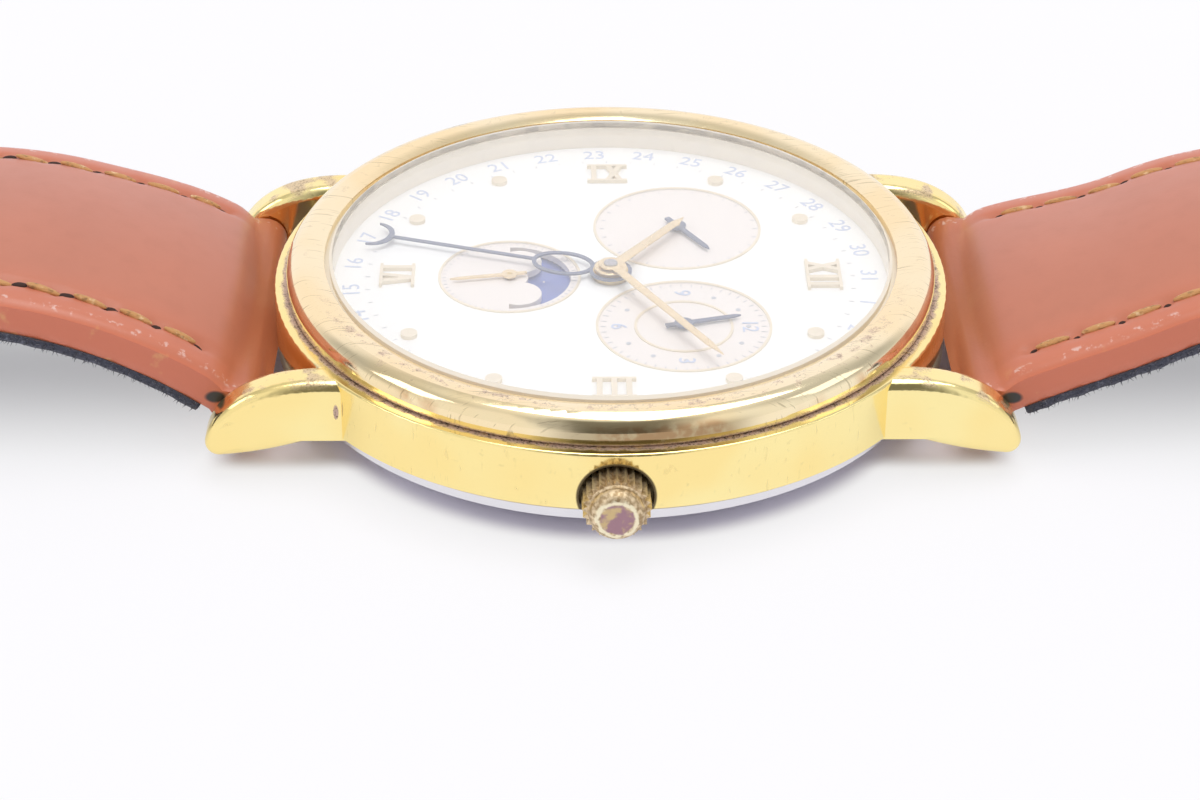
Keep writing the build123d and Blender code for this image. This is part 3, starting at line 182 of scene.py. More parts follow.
class Finish(Tree):
    """A material whose Principled shader takes expressions."""

    def __init__(self, name):
        self.material = bpy.data.materials.new(name)
        self.material.use_nodes = True
        super().__init__(self.material.node_tree)
        self.tree.nodes.clear()
        self.place = self.add("ShaderNodeTexCoord", output="Object")

    def axes(self):
        """The X, Y and Z of the point in millimetres."""
        return [part * 1000 for part in self.split(self.place)]

    def upward(self):
        """How far the face looks up, from -1 to 1."""
        return self.split(self.add("ShaderNodeNewGeometry", output="True Normal"))[2]

    def noise(self, scale, detail, roughness=0.5, stretch=None):
        """Noise with its scale in cells per metre, from 0 to 1."""
        where = self.place
        if stretch:
            where = self.add("ShaderNodeMapping", None, {"Vector": where, "Scale": stretch})
        return self.add("ShaderNodeTexNoise", None, {
            "Vector": where, "Scale": scale, "Detail": detail, "Roughness": roughness})

    def cells(self, scale):
        """Distance in a field of cells."""
        return self.add("ShaderNodeTexVoronoi", None, {"Vector": self.place, "Scale": scale})

    def bump(self, height, distance, strength, normal=None):
        """Bump from a height of 0 to 1 and its depth in metres."""
        sockets = {"Height": height, "Distance": distance, "Strength": strength}
        if normal:
            sockets["Normal"] = normal
        return self.add("ShaderNodeBump", None, sockets)

    def radius(self, centre, axes=(0, 1)):
        """Distance in millimetres from a centre in the plane of two axes."""
        parts = self.axes()
        across = parts[axes[0]] - centre[0]
        along = parts[axes[1]] - centre[1]
        return (across * across + along * along).root()

    def attribute(self, name):
        """A number that the mesh carries."""
        return self.add("ShaderNodeAttribute", {"attribute_name": name}, output="Fac")

    def principled(self, **sockets):
        """A Principled shader, its sockets written with underlines."""
        named = {key.replace("_", " "): value for key, value in sockets.items()}
        for key in ("Base Color", "Sheen Tint"):
            if key in named and not isinstance(named[key], Wire):
                named[key] = (*named[key], 1)
        return self.add("ShaderNodeBsdfPrincipled", None, named)

    def blend(self, factor, low, high):
        """Shader between two shaders."""
        return self.add("ShaderNodeMixShader", None, {0: factor, 1: low, 2: high})

    def close(self, shader):
        """Ends the tree with its shader."""
        self.add("ShaderNodeOutputMaterial", None, {"Surface": shader})
        return self.material

    def shade(self, **sockets):
        """Ends the tree with a Principled shader."""
        return self.close(self.principled(**sockets))


class Field(Tree):
    """A Geometry Nodes tree with named inputs."""

    def __init__(self, name, sizes):
        super().__init__(bpy.data.node_groups.new(name, "GeometryNodeTree"))
        make = self.tree.interface.new_socket
        make("Geometry", in_out="INPUT", socket_type="NodeSocketGeometry")
        self.sockets = {}
        for label, kind in sizes.items():
            self.sockets[label] = make(label, in_out="INPUT", socket_type=f"NodeSocket{kind}")
        make("Geometry", in_out="OUTPUT", socket_type="NodeSocketGeometry")
        self.source = self.add("NodeGroupInput").socket.node

    def given(self, label):
        """An input of the tree."""
        return Wire(self, self.source.outputs[label])

    def spread(self, points, shape, turn, size):
        """A shape on each of the points, turned and sized."""
        return self.add("GeometryNodeInstanceOnPoints", None, {
            "Points": points, "Instance": shape, "Rotation": turn, "Scale": size})

    def vector(self, *parts):
        """A vector of three numbers."""
        return self.add("ShaderNodeCombineXYZ", None, dict(enumerate(parts)))

    def close(self, geometry):
        """Realizes the instances, sets the material and closes the tree."""
        solid = self.add("GeometryNodeRealizeInstances", None, {0: geometry})
        painted = self.add("GeometryNodeSetMaterial", None, {
            "Geometry": solid, "Material": self.given("Material")})
        self.add("NodeGroupOutput", None, {0: painted})
        return self

    def grow(self, base, name, values):
        """Runs the tree on an object and returns the plain mesh that it makes."""
        modifier = base.modifiers.new("Field", "NODES")
        modifier.node_group = self.tree
        for label, value in values.items():
            modifier[self.sockets[label].identifier] = value
        return settle(base, name)


# Meshes


def in_scene(name, data):
    """New object of the scene that holds the data."""
    made = bpy.data.objects.new(name, data)
    bpy.context.scene.collection.objects.link(made)
    return made


def mesh_of(name, work):
    """New mesh of what a bmesh holds. The bmesh is freed."""
    mesh = bpy.data.meshes.new(name)
    work.to_mesh(mesh)
    work.free()
    return mesh


def settle(base, name):
    """Plain mesh object of what an object's modifiers make, in place of the object."""
    graph = bpy.context.evaluated_depsgraph_get()
    graph.update()
    mesh = bpy.data.meshes.new_from_object(base.evaluated_get(graph), preserve_all_data_layers=True,
                                           depsgraph=graph)
    bpy.data.objects.remove(base)
    mesh.name = name
    return in_scene(name, mesh)


def mesh_object(name, points, faces=(), edges=(), smooth=True):
    """Object from points in metres."""
    mesh = bpy.data.meshes.new(name)
    mesh.from_pydata([tuple(point) for point in points], edges, faces)
    mesh.validate()
    if faces and smooth:
        mesh.shade_smooth()
    return in_scene(name, mesh)


def paint(piece, material):
    """The piece wears one material."""
    piece.data.materials.clear()
    piece.data.materials.append(material)
    return piece


def dress(material, *nodes):
    """Gives CAD nodes a material."""
    for node in nodes:
        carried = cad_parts[node]
        if not carried.material_slots:
            carried.data.materials.append(material)
        for slot in carried.material_slots:
            slot.material = material


def loft(name, rows, ring=False):
    """Skin over rows of points, joined into a ring or else with both ends closed."""
    count = len(rows[0])
    faces = []
    for line in range(len(rows) if ring else len(rows) - 1):
        here, after = line * count, (line + 1) % len(rows) * count
        for step in range(count):
            following = (step + 1) % count
            faces.append((here + step, here + following, after + following, after + step))
    if not ring:
        faces.append(tuple(reversed(range(count))))
        faces.append(tuple(range((len(rows) - 1) * count, len(rows) * count)))
    made = mesh_object(name, [point for row in rows for point in row], faces)
    work = bmesh.new()
    work.from_mesh(made.data)
    bmesh.ops.recalc_face_normals(work, faces=work.faces)
    work.to_mesh(made.data)
    work.free()
    return made


def rod(radius, length, place, direction, sides=32):
    """Closed cylinder used as a cutter."""
    work = bmesh.new()
    turn = Vector(direction).to_track_quat("Z", "Y").to_matrix().to_4x4()
    bmesh.ops.create_cone(work, cap_ends=True, segments=sides, radius1=radius, radius2=radius,
                          depth=length, matrix=Matrix.Translation(place) @ turn)
    return mesh_of("Cutter", work)


def joined(name, meshes):
    """One object of several meshes."""
    work = bmesh.new()
    for mesh in meshes:
        work.from_mesh(mesh)
    return in_scene(name, mesh_of(name, work))


def cut(piece, cutters):
    """Takes the cutters away from the piece."""
    tool = joined("Cutters", cutters)
    modifier = piece.modifiers.new("Holes", "BOOLEAN")
    modifier.operation = "DIFFERENCE"
    modifier.solver = "EXACT"
    modifier.object = tool
    result = settle(piece, piece.name)
    bpy.data.objects.remove(tool)
    return result


def crease(piece, angle):
    """Smooth shading, with edges over an angle in degrees kept sharp."""
    piece.data.shade_smooth()
    piece.data.set_sharp_from_angle(angle=radians(angle))
    return piece


def finished(piece, body, slot, material, *replaced):
    """Paints a piece, ties it to its body and hides the CAD nodes it replaces. The slot is not
    used.
    """
    paint(piece, material)
    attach(piece, body)
    if replaced:
        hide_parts(*replaced)
    return piece


# Sizes and colours that a user would change


def colour(label, description, value):
    return FloatVectorProperty(name=label, description=description, default=value, size=3,
                               min=0, max=1, subtype="COLOR")


def size(label, description, millimetres):
    return FloatProperty(name=label, description=description, default=millimetres * MM, min=0,
                         subtype="DISTANCE", unit="LENGTH", precision=5)


def share_of(label, description, value):
    return FloatProperty(name=label, description=description, default=value,
                         min=0, max=1, subtype="FACTOR")


class WatchCaseSettings(bpy.types.PropertyGroup):
    """Gold plating, steel back and crown"""

    plating: colour("Plating", "Colour of the gold plating", (1.0, 0.85, 0.40))
    rubbed: colour("Rubbed plating", "Colour of the paler plating of the bezel", (0.96, 0.83, 0.56))
    worn: colour("Worn plating", "Colour of the base metal under the gold", (0.60, 0.43, 0.34))
    inner: colour("Inner ring", "Colour of the ring round the dial", (0.93, 0.85, 0.72))
    thinned: colour("Thinned plating", "Colour of the patches low on the bezel", (0.66, 0.36, 0.17))
    # The dark film colour is also painted as shade in the crown's recess and as a dark reflection
    # on the bezel
    tarnish: colour("Tarnish", "Dark film in the corners", (0.13, 0.09, 0.045))
    steel: colour("Steel", "Colour of the back", (0.84, 0.83, 0.87))
    polish: share_of("Polish", "Roughness of the polished gold", 0.09)
    scratch_depth: size("Scratches", "Depth of the fine scratches", 0.002)
    haze: share_of("Haze", "Share of milky wear on the crystal", 0.10)


class WatchDialSettings(bpy.types.PropertyGroup):
    """Dial, prints, hands and moon"""

    lacquer: colour("Lacquer", "Colour of the dial", (0.97, 0.97, 0.965))
    sunk: colour("Subdials", "Colour of the sunk subdials", (0.93, 0.86, 0.82))
    applied: colour("Applied gold", "Colour of the applied marks", (0.96, 0.85, 0.66))
    hand_gold: colour("Hand gold", "Colour of the gold hands", (0.98, 0.78, 0.48))
    print_ink: colour("Printed numbers", "Colour of the printed dates", (0.60, 0.67, 0.88))
    dark_hand: colour("Dark hands", "Colour of the date, day and month hands", (0.08, 0.11, 0.21))
    night: colour("Night sky", "Colour of the moon disc", (0.10, 0.15, 0.45))
    date_radius: size("Date ring", "Radius of the ring of dates", 13.3)
    date_height: size("Date height", "Height of the date numbers", 0.9)
    date_count: IntProperty(name="Dates", description="Number of days on the ring",
                            default=31, min=2)


class WatchStrapSettings(bpy.types.PropertyGroup):
    """Leather, lining, thread and stitching"""

    leather: colour("Leather", "Colour of the leather", (0.485, 0.150, 0.080))
    # Painted shade: the deeper colour of the sides, also laid on the top towards the edges
    leather_wall: colour("Leather wall", "Colour of the strap's sides", (0.68, 0.172, 0.078))
    # Also laid along the seam as painted shade
    leather_deep: colour("Deep leather", "Colour in folds and at the ends", (0.45, 0.115, 0.036))
    leather_rubbed: colour("Rubbed leather", "Colour of the rubbed finish", (0.74, 0.36, 0.13))
    lining: colour("Lining", "Colour of the napped lining", (0.040, 0.044, 0.068))
    lining_dust: colour("Dusty nap", "Colour of the pale fibre ends", (0.30, 0.32, 0.38))
    thread: colour("Thread", "Colour of the thread", (0.62, 0.31, 0.11))
    stitch_pitch: size("Stitch pitch", "Distance between needle holes", 2.4)
    stitch_length: size("Stitch length", "Length of the thread between two holes", 1.8)
    stitch_width: size("Stitch width", "Thickness of the thread", 0.46)
    stitch_inset: size("Stitch inset", "Distance of the seam from the edge", 1.8)
    stitch_start: size("Stitch start", "Distance of the first hole from the spring bar", 3.0)
    fibre_length: size("Fibre length", "Length of the lining's edge fibres", 0.26)
    fibre_seed: IntProperty(name="Fibre seed", description="Seed of the fibres' places",
                            default=7, min=0)


class WatchStageSettings(bpy.types.PropertyGroup):
    """Floor, lamps and camera"""

    floor: colour("Floor", "Colour of the table", (0.90, 0.87, 0.975))
    white_share: share_of("White table", "Share of plain white in the seen table", 0.76)
    lens: FloatProperty(name="Lens", description="Focal length in millimetres for a 36 mm sensor",
                        default=92.37, min=1)
    lamp_strength: FloatProperty(name="Lamps", description="Brightness of the lamps",
                                 default=1.0, min=0)


SETTINGS = {"watch_case": WatchCaseSettings, "watch_dial": WatchDialSettings,
            "watch_strap": WatchStrapSettings, "watch_stage": WatchStageSettings}


# Metal finishes

# Heights and radii on the case, in millimetres
SHOULDER_DEPTH = 0.9
INNER_RING_RADIUS = 14.55
CREST_RADIUS = 15.25
CROWN_RECESS_RADIUS = 1.91
LUG_TOP_X = 10.0
LUG_BAR_HOLE_Y, LUG_BAR_HOLE_HEIGHT = 13.55, 3.95


def shaded(tint, share):
    """The colour times a share."""
    return tuple(part * share for part in tint)


def scratches(finish, strength=1.0):
    """Fine hairlines in three directions, from 0 to 1."""
    lines = None
    for turn, stretch in ((0.5, 900), (1.7, 1300), (2.6, 700)):
        turned = finish.add("ShaderNodeMapping", None, {
            "Vector": finish.place, "Rotation": (turn, turn * 0.7, turn * 1.3),
            "Scale": (stretch * 9, stretch * 0.35, stretch)})
        strand = finish.add("ShaderNodeTexNoise", None, {
            "Vector": turned, "Scale": 1.0, "Detail": 2.0})
        line = strand.step(0.66, 0.74)
        lines = line if lines is None else lines.at_least(line)
    return lines * strength


def gold_finish(name, settings, wear=None, polish=None, plating=None, inner=None,
                thinned=None, recess_shade=None, line_share=0.06):
    """Polished plating with hairlines, a thin tarnished film and, where a mask asks, worn base
    metal, painted shade in a recess and a painted dark reflection.
    """
    finish = Finish(name)
    hairs = scratches(finish)
    cloud = finish.noise(420, 4)
    film = finish.noise(2600, 3).step(0.66, 0.80) * 0.2
    gold = plating or settings.plating
    amber = tuple(part * share for part, share in zip(gold, (1.0, 0.90, 0.74)))
    base = finish.layers(gold, (amber, finish.noise(130, 2).step(0.42, 0.62) * 0.6),
                         (settings.tarnish, film * cloud))
    rough = hairs * 0.16 + cloud * 0.05 + (polish if polish is not None else settings.polish)
    height = hairs * 0.5
    metal = 1.0
    if wear:
        mask = wear(finish)
        pits = mask * finish.noise(9000, 2).step(0.52, 0.62)
        base = finish.layers(base, (settings.worn, mask), (settings.tarnish, pits * 0.8))
        metal = 1 - mask * 0.6
        rough = rough + mask * 0.28
        height = height + pits
    if inner:
        ring = inner(finish)
        base = finish.mix(base, settings.inner, ring)
        metal = metal - ring * 0.7
        rough = rough + ring * 0.25
    # Thinned patches, then the bezel's painted dark reflection in the dark film colour
    if thinned:
        base = finish.layers(base, (settings.thinned, thinned(finish) * 0.75),
                             (settings.tarnish, bezel_film(finish) * 0.55))
    # Painted shade: the recess made darker, duller and rougher where the mask asks
    if recess_shade:
        painted_shade = recess_shade(finish)
        base = finish.mix(base, shaded(settings.tarnish, 0.6), painted_shade * 0.93)
        metal = metal - painted_shade * 0.4
        rough = rough + painted_shade * 0.3
    base = finish.mix(base, settings.tarnish, hairs * line_share)
    dents = finish.bump(finish.noise(330, 3), 0.05 * MM, 0.35)
    normal = finish.bump(height, settings.scratch_depth, 0.35, dents)
    return finish.shade(Base_Color=base, Metallic=metal, Roughness=rough, Normal=normal)


def case_wear(finish):
    """Worn line along the shoulder, worn tops of the lugs and a spot at one lug's bar hole."""
    x, y, z = finish.axes()
    foot = BEZEL_HIGH.x / MM
    grain = finish.noise(1500, 4)
    outward = (finish.radius((0, 0)) + grain * 0.5).step(foot + 0.38, foot + 0.60)
    line = (1 - abs(z - (CASE_TOP / MM - SHOULDER_DEPTH)).step(0.06, 0.20)) * (1 - outward)
    ragged = grain.step(0.30, 0.50) * 0.45 + 0.55
    off_top = abs(abs(x) - LUG_TOP_X)
    tops = abs(y).step(12.5, 15.0) * (1 - off_top.step(0.75, 1.1)) * z.step(2.6, 3.4)
    tips = tops * finish.upward().step(0.35, 0.75) * finish.noise(620, 4).step(0.50, 0.60)
    across = (abs(y) - LUG_BAR_HOLE_Y) * 3.2
    over = z - LUG_BAR_HOLE_HEIGHT
    spot = 1 - (across * across + over * over).step(0.10, 0.22)
    spot = spot * x.step(8, 9) * (1 - y.step(-9, -8))
    return (line * ragged + tips * 0.6 + spot).at_most(1.0)


def crown_grime(finish):
    """Painted shade in the recess round the crown."""
    far = finish.radius((0, CROWN_HEIGHT / MM), axes=(1, 2))
    recess = 1 - far.step(CROWN_RECESS_RADIUS - 0.05, CROWN_RECESS_RADIUS + 0.05)
    return recess * finish.axes()[0].step(14, 15)


def case_inner(finish):
    """The pale ring that stands round the dial."""
    within = 1 - finish.radius((0, 0)).step(INNER_RING_RADIUS - 0.05, INNER_RING_RADIUS + 0.05)
    return within * finish.axes()[2].step(DIAL_TOP / MM - 0.1, DIAL_TOP / MM)


def bezel_wear(finish):
    """Scuffs along the crest and a worn foot."""
    x, _, z = finish.axes()
    foot = 1 - (z - BEZEL_LOW.z / MM).step(0.05, 0.22)
    crest = z.step(BEZEL_HIGH.z / MM - 0.22, BEZEL_HIGH.z / MM)
    ragged = finish.noise(1900, 4)
    band = 1 - abs(finish.radius((0, 0)) - CREST_RADIUS).step(0.10, 0.45)
    crown_side = x.step(3.0, 10.0)
    scored = band * crown_side * finish.noise(1400, 5, 0.65).step(0.50, 0.62)
    worn_foot = foot * (ragged.step(0.30, 0.50) * 0.5 + 0.5)
    worn_crest = crest * ragged.step(0.60, 0.70) * (crown_side * 0.3 + 0.1)
    return (worn_foot + worn_crest + scored * 0.7).at_most(1.0)


def bezel_patches(finish):
    """Brown patches low on the bezel where the plating has thinned."""
    z = finish.axes()[2]
    low = z.step(5.75, 5.95) * (1 - z.step(6.35, 6.7))
    return low * finish.noise(210, 2).step(0.50, 0.60) * finish.noise(1600, 3).step(0.30, 0.55)


def bezel_film(finish):
    """Painted dark reflection low on the bezel, on the crown's side, laid on as a dull film."""
    x, y, z = finish.axes()
    low = z.step(5.55, 5.75) * (1 - z.step(6.2, 6.6)) * x.step(0, 4)
    middle_part = 1 - abs(y - 1.6).step(3.4, 5.8)
    return low * middle_part * (finish.noise(120, 2).step(0.38, 0.55) * 0.3 + 0.7)


def metal_finish(name, tint, rough, grain=(1, 1, 1), metal=1.0):
    """Brushed or satin metal with a directional grain."""
    finish = Finish(name)
    lines = finish.noise(3000, 2, stretch=grain)
    base = finish.mix(tint, shaded(tint, 0.72), lines * 0.5 + finish.noise(300, 3) * 0.3)
    return finish.shade(Base_Color=base, Metallic=metal, Roughness=lines * 0.12 + rough,
                        Normal=finish.bump(lines, 0.0006 * MM, 0.4))


def turned_finish(name, tint, centre, rough, rings):
    """Metal with turning rings, so many in a millimetre, as on a wheel or a plate."""
    finish = Finish(name)
    groove = (finish.radius(centre) * rings * FULL_TURN).wave()
    base = finish.mix(tint, shaded(tint, 0.75), groove * 0.35 + finish.noise(500, 3) * 0.3)
    return finish.shade(Base_Color=base, Metallic=1.0, Roughness=groove * 0.1 + rough,
                        Normal=finish.bump(groove, 0.002 * MM, 0.5))


def plain_finish(name, tint, rough, coat=0.0):
    """Moulded or lacquered surface with a fine uneven texture."""
    finish = Finish(name)
    grain = finish.noise(1800, 3)
    base = finish.mix(tint, shaded(tint, 0.85), grain * 0.6 + finish.noise(150, 2) * 0.4)
    return finish.shade(Base_Color=base, Roughness=grain * 0.12 + rough, Coat_Weight=coat,
                        Coat_Roughness=0.08, Normal=finish.bump(grain, 0.003 * MM, 0.4))


def crown_finish():
    """Tarnished brass, with a ragged pale rim round a worn violet and yellow centre."""
    finish = Finish("Crown")
    far = finish.radius((0, CROWN_HEIGHT / MM), axes=(1, 2))
    grit = finish.noise(4200, 4)
    ragged = finish.noise(2300, 4) - 0.5
    end = finish.axes()[0].step(CROWN_END / MM - 0.12, CROWN_END / MM - 0.02)
    rim = end * (1 - abs(far - 0.92 - ragged * 0.5).step(0.04, 0.14))
    centre = end * (1 - (far + ragged * 0.5).step(0.72, 0.86))
    violet = finish.mix((0.40, 0.24, 0.28), (0.66, 0.50, 0.26),
                        finish.noise(1500, 3).step(0.50, 0.66))
    teeth = far.step(1.52, 1.66) * (1 - end)
    base = finish.layers(
        (0.80, 0.64, 0.42), ((0.40, 0.28, 0.15), grit.step(0.35, 0.65)),
        ((0.95, 0.86, 0.62), rim), (violet, centre), ((0.80, 0.64, 0.36), teeth * 0.7))
    return finish.shade(Base_Color=base, Metallic=0.85, Roughness=grit * 0.3 + 0.3,
                        Normal=finish.bump(grit, 0.02 * MM, 0.5))


class WATCH_OT_case(bpy.types.Operator):
    """Finish the case, bezel, back, crown and seals"""

    bl_idname = "watch.case"
    bl_label = "Case"

    def execute(self, context):
        settings = context.scene.watch_case
        dress(gold_finish("Case plating", settings, case_wear, inner=case_inner, recess_shade=crown_grime),
              "case_middle")
        dress(gold_finish("Bezel plating", settings, bezel_wear, settings.polish * 0.8,
                          settings.rubbed, thinned=bezel_patches, line_share=0.35), "bezel")
        dress(turned_finish("Back steel", settings.steel, (0, 0), 0.22, 6.0), "case_back")
        dress(crown_finish(), "crown")
        dress(metal_finish("Stem steel", (0.50, 0.50, 0.52), 0.18, (1, 0.05, 1)),
              "crown_tube", "stem", "sliding_pinion", "setting_yoke")
        dress(plain_finish("Crystal seal", (0.90, 0.80, 0.64), 0.3), "crystal_gasket")
        dress(plain_finish("Seal rubber", (0.03, 0.03, 0.032), 0.55),
              "case_back_gasket", "crown_gasket")
        dress(metal_finish("Bar steel", (0.56, 0.56, 0.57), 0.24, (0.05, 1, 1)),
              "spring_bar_tubes", "upper_right_bar_tip", "upper_left_bar_tip",
              "lower_right_bar_tip", "lower_left_bar_tip", "buckle_bar_tube", "buckle_bar_tips")
        return {"FINISHED"}


def crystal_finish(haze):
    """Real glass with a ground wall and a milky veil, which lets light through unbent."""
    finish = Finish("Crystal")
    glass = finish.principled(Base_Color=(1, 1, 1), Transmission_Weight=1.0, Roughness=0.0, IOR=1.5,
                              Normal=finish.bump(scratches(finish, 0.6), 0.0004 * MM, 0.2))
    wall = 1 - abs(finish.upward()).step(0.82, 0.95)
    frosted = finish.mix((1, 1, 1), (0.95, 0.88, 0.78), wall)
    ground = finish.principled(Base_Color=frosted, Roughness=0.5)
    clear = finish.add("ShaderNodeBsdfTransparent", None, {"Color": (1, 1, 1, 1)})
    lighting = finish.ray("Shadow").at_least(finish.ray("Diffuse"))
    seen = finish.blend(wall.at_least(haze), glass, ground)
    return finish.close(finish.blend(lighting, seen, clear))


class WATCH_OT_crystal(bpy.types.Operator):
    """Finish the crystal"""

    bl_idname = "watch.crystal"
    bl_label = "Crystal"

    def execute(self, context):
        dress(crystal_finish(context.scene.watch_case.haze), "crystal")
        return {"FINISHED"}


# Dial

# Sizes on the moon disc and of the prints, in millimetres
MOON_OFFSET, MOON_RADIUS = 2.15, 0.89
INK_LIFT, INK_DEPTH = 0.008, 0.006
MARK_THICKNESS = 0.02
SUBDIAL_DEPTH = 0.05
MONTH_NUMBER_RADIUS, MONTH_NUMBER_HEIGHT = 3.3, 0.85

# Font size for each unit of a figure's height
FONT_SHARE = 1.4


def dial_finish(settings):
    """White lacquer, with warm grey sunk subdials that carry fine rings."""
    finish = Finish("Dial lacquer")
    grain = finish.noise(2400, 3)
    sunk = 1 - finish.axes()[2].step(DIAL_TOP / MM - 0.045, DIAL_TOP / MM - 0.02)
    month, day, moon = (finish.radius(centre / MM)
                        for centre in (MONTH_CENTRE, DAY_CENTRE, MOON_CENTRE))
    groove = (month.at_most(day).at_most(moon) * 60).wave()
    tint = finish.mix(settings.sunk, shaded(settings.sunk, 0.93), groove)
    base = finish.mix(settings.lacquer, tint, sunk)
    return finish.shade(Base_Color=base, Roughness=grain * 0.1 + 0.3, Coat_Weight=0.3,
                        Coat_Roughness=0.12,
                        Normal=finish.bump(grain * 0.4 + groove * sunk, 0.003 * MM, 0.5))


def moon_finish(settings):
    """Night sky with stars, and two gold moons at the sides, behind the clouds."""
    finish = Finish("Moon disc")
    x, y, _ = finish.axes()
    up = y - MOON_CENTRE.y / MM
    side = abs(x) - MOON_OFFSET
    cloud = finish.noise(700, 3)
    sky = finish.mix(settings.night, shaded(settings.night, 1.35), cloud)
    star = 1 - finish.cells(1500).step(0.05, 0.12)
    moon = 1 - (side * side + up * up).root().step(MOON_RADIUS - 0.03, MOON_RADIUS + 0.03)
    base = finish.mix(sky, (0.93, 0.80, 0.50), (star + moon).at_most(1.0))
    return finish.shade(Base_Color=base, Metallic=moon * 0.8, Roughness=cloud * 0.1 + 0.28,
                        Coat_Weight=0.4, Coat_Roughness=0.1)


def marks_field():
    """Small upright blocks evenly round a circle, each facing the centre."""
    field = Field("Ring of marks", {
        "Count": "Int", "Radius": "Float", "Length": "Float", "Width": "Float",
        "Thickness": "Float", "Corners": "Int", "Material": "Material"})
    circle = field.add("GeometryNodeMeshCircle", None, {"Vertices": field.given("Count"),
                                                        "Radius": field.given("Radius")})
    points = field.add("GeometryNodeMeshToPoints", None, {"Mesh": circle})
    mark = field.add("GeometryNodeMeshCylinder", None, {
        "Vertices": field.given("Corners"), "Radius": 0.5, "Depth": 1.0})
    facing = field.add("FunctionNodeAlignEulerToVector", {"axis": "X"},
                       {"Vector": field.add("GeometryNodeInputPosition")})
    shape = field.vector(field.given("Length"), field.given("Width"), field.given("Thickness"))
    return field.close(field.spread(points, mark, facing, shape))


def ring_of_marks(field, name, centre, height, material, count, radius, length, width, corners):
    """Marks round a centre on the dial, with their sizes in millimetres."""
    made = field.grow(mesh_object(name, []), name, {
        "Count": count, "Radius": radius * MM, "Length": length * MM, "Width": width * MM,
        "Thickness": MARK_THICKNESS * MM, "Corners": corners, "Material": material})
    made.data.transform(Matrix.Translation((centre.x, centre.y, height)))
    return finished(made, "case", "blued_hand", material)


def printed(name, words, material):
    """Flat printed characters: (text, x, y, z, height, turn) in metres and radians, as one mesh."""
    meshes = []
    for text, x, y, z, height, turn in words:
        curve = bpy.data.curves.new("Print", "FONT")
        curve.body = text
        curve.size = height * FONT_SHARE
        curve.align_x = "CENTER"
        curve.align_y = "CENTER"
        curve.extrude = INK_DEPTH * MM
        curve.resolution_u = 3
        flat = settle(in_scene("Print", curve), "Print")
        flat.data.transform(Matrix.Translation((x, y, z)) @ Matrix.Rotation(turn, 4, "Z"))
        meshes.append(flat.data)
        bpy.data.objects.remove(flat)
    return paint(joined(name, meshes), material)


class WATCH_OT_dial(bpy.types.Operator):
    """Finish the dial and print its numbers and tracks"""

    bl_idname = "watch.dial"
    bl_label = "Dial and prints"

    def execute(self, context):
        settings = context.scene.watch_dial
        dress(dial_finish(settings), "dial")
        dress(metal_finish("Applied gold", settings.applied, 0.3, (1, 0.1, 1), 0.55),
              "hour_markers", "subdial_rings")
        dress(moon_finish(settings), "moon_disc")
        ink = plain_finish("Printed dates", settings.print_ink, 0.5)
        grey_ink = plain_finish("Printed tracks", (0.58, 0.59, 0.66), 0.5)
        level = DIAL_TOP + INK_LIFT * MM
        sunk_level = DIAL_TOP - SUBDIAL_DEPTH * MM + INK_LIFT * MM
        words = []
        for day in range(1, settings.date_count + 1):
            turn = FULL_TURN * day / settings.date_count
            words.append((str(day), settings.date_radius * sin(turn),
                          settings.date_radius * cos(turn), level, settings.date_height, -turn))
        finished(printed("Date_numbers", words, ink), "case", "blued_hand", ink)
        field = marks_field()
        for name, centre, height, *sizes in (
                ("Hour_track", Vector((0, 0)), level, 60, 12.5, 0.28, 0.05, 4),
                ("Month_dots", MONTH_CENTRE, sunk_level, 12, 3.25, 0.26, 0.26, 12),
                ("Month_ticks", MONTH_CENTRE, sunk_level, 48, 4.05, 0.3, 0.05, 4),
                ("Day_ticks", DAY_CENTRE, sunk_level, 28, 4.05, 0.26, 0.05, 4),
                ("Seconds_ticks", MOON_CENTRE, sunk_level, 60, 3.36, 0.22, 0.04, 4)):
            ring_of_marks(field, name, centre, height, grey_ink, *sizes)
        numbers = []
        for month in (3, 6, 9, 12):
            turn = FULL_TURN * month / 12
            out = Vector((sin(turn), cos(turn))) * MONTH_NUMBER_RADIUS * MM + MONTH_CENTRE
            numbers.append((str(month), out.x, out.y, sunk_level + 2 * INK_LIFT * MM,
                            MONTH_NUMBER_HEIGHT * MM, 0))
        finished(printed("Month_numbers", numbers, ink), "case", "blued_hand", ink)
        return {"FINISHED"}


# Hands

# Width of the slope along a hand's edges, in millimetres
HAND_SLOPE = 0.035


def faceted_hand(name, node, body, material):
    """Hand with a raised middle line, made from the CAD hand's outline and standing on its top."""
    work = bmesh.new()
    work.from_mesh(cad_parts[node].data)
    bmesh.ops.remove_doubles(work, verts=work.verts, dist=0.002 * MM)
    bmesh.ops.dissolve_limit(work, angle_limit=radians(2), verts=work.verts, edges=work.edges)
    made = in_scene(name, mesh_of(name, work))
    bevel = made.modifiers.new("Edge", "BEVEL")
    bevel.width = HAND_SLOPE * MM
    bevel.segments = 2
    bevel.limit_method = "ANGLE"
    bevel.angle_limit = radians(50)
    return finished(crease(settle(made, name), 30), body, "applied_gold", material, node)


class WATCH_OT_hands(bpy.types.Operator):
    """Finish the hands"""

    bl_idname = "watch.hands"
    bl_label = "Hands"

    def execute(self, context):
        settings = context.scene.watch_dial
        gold = metal_finish("Hand gold", settings.hand_gold, 0.2, (0.3, 0.3, 1), 0.8)
        dark = plain_finish("Dark hand lacquer", settings.dark_hand, 0.25, coat=0.6)
        for node, body in (("minute_hand", "minute"), ("hour_hand", "hour")):
            faceted_hand(node.capitalize(), node, body, gold)
        dress(gold, "seconds_hand")
        dress(dark, "date_hand", "day_hand", "month_hand")
        return {"FINISHED"}


# Movement

CELL_CENTRE = (-6.6, 4.2)


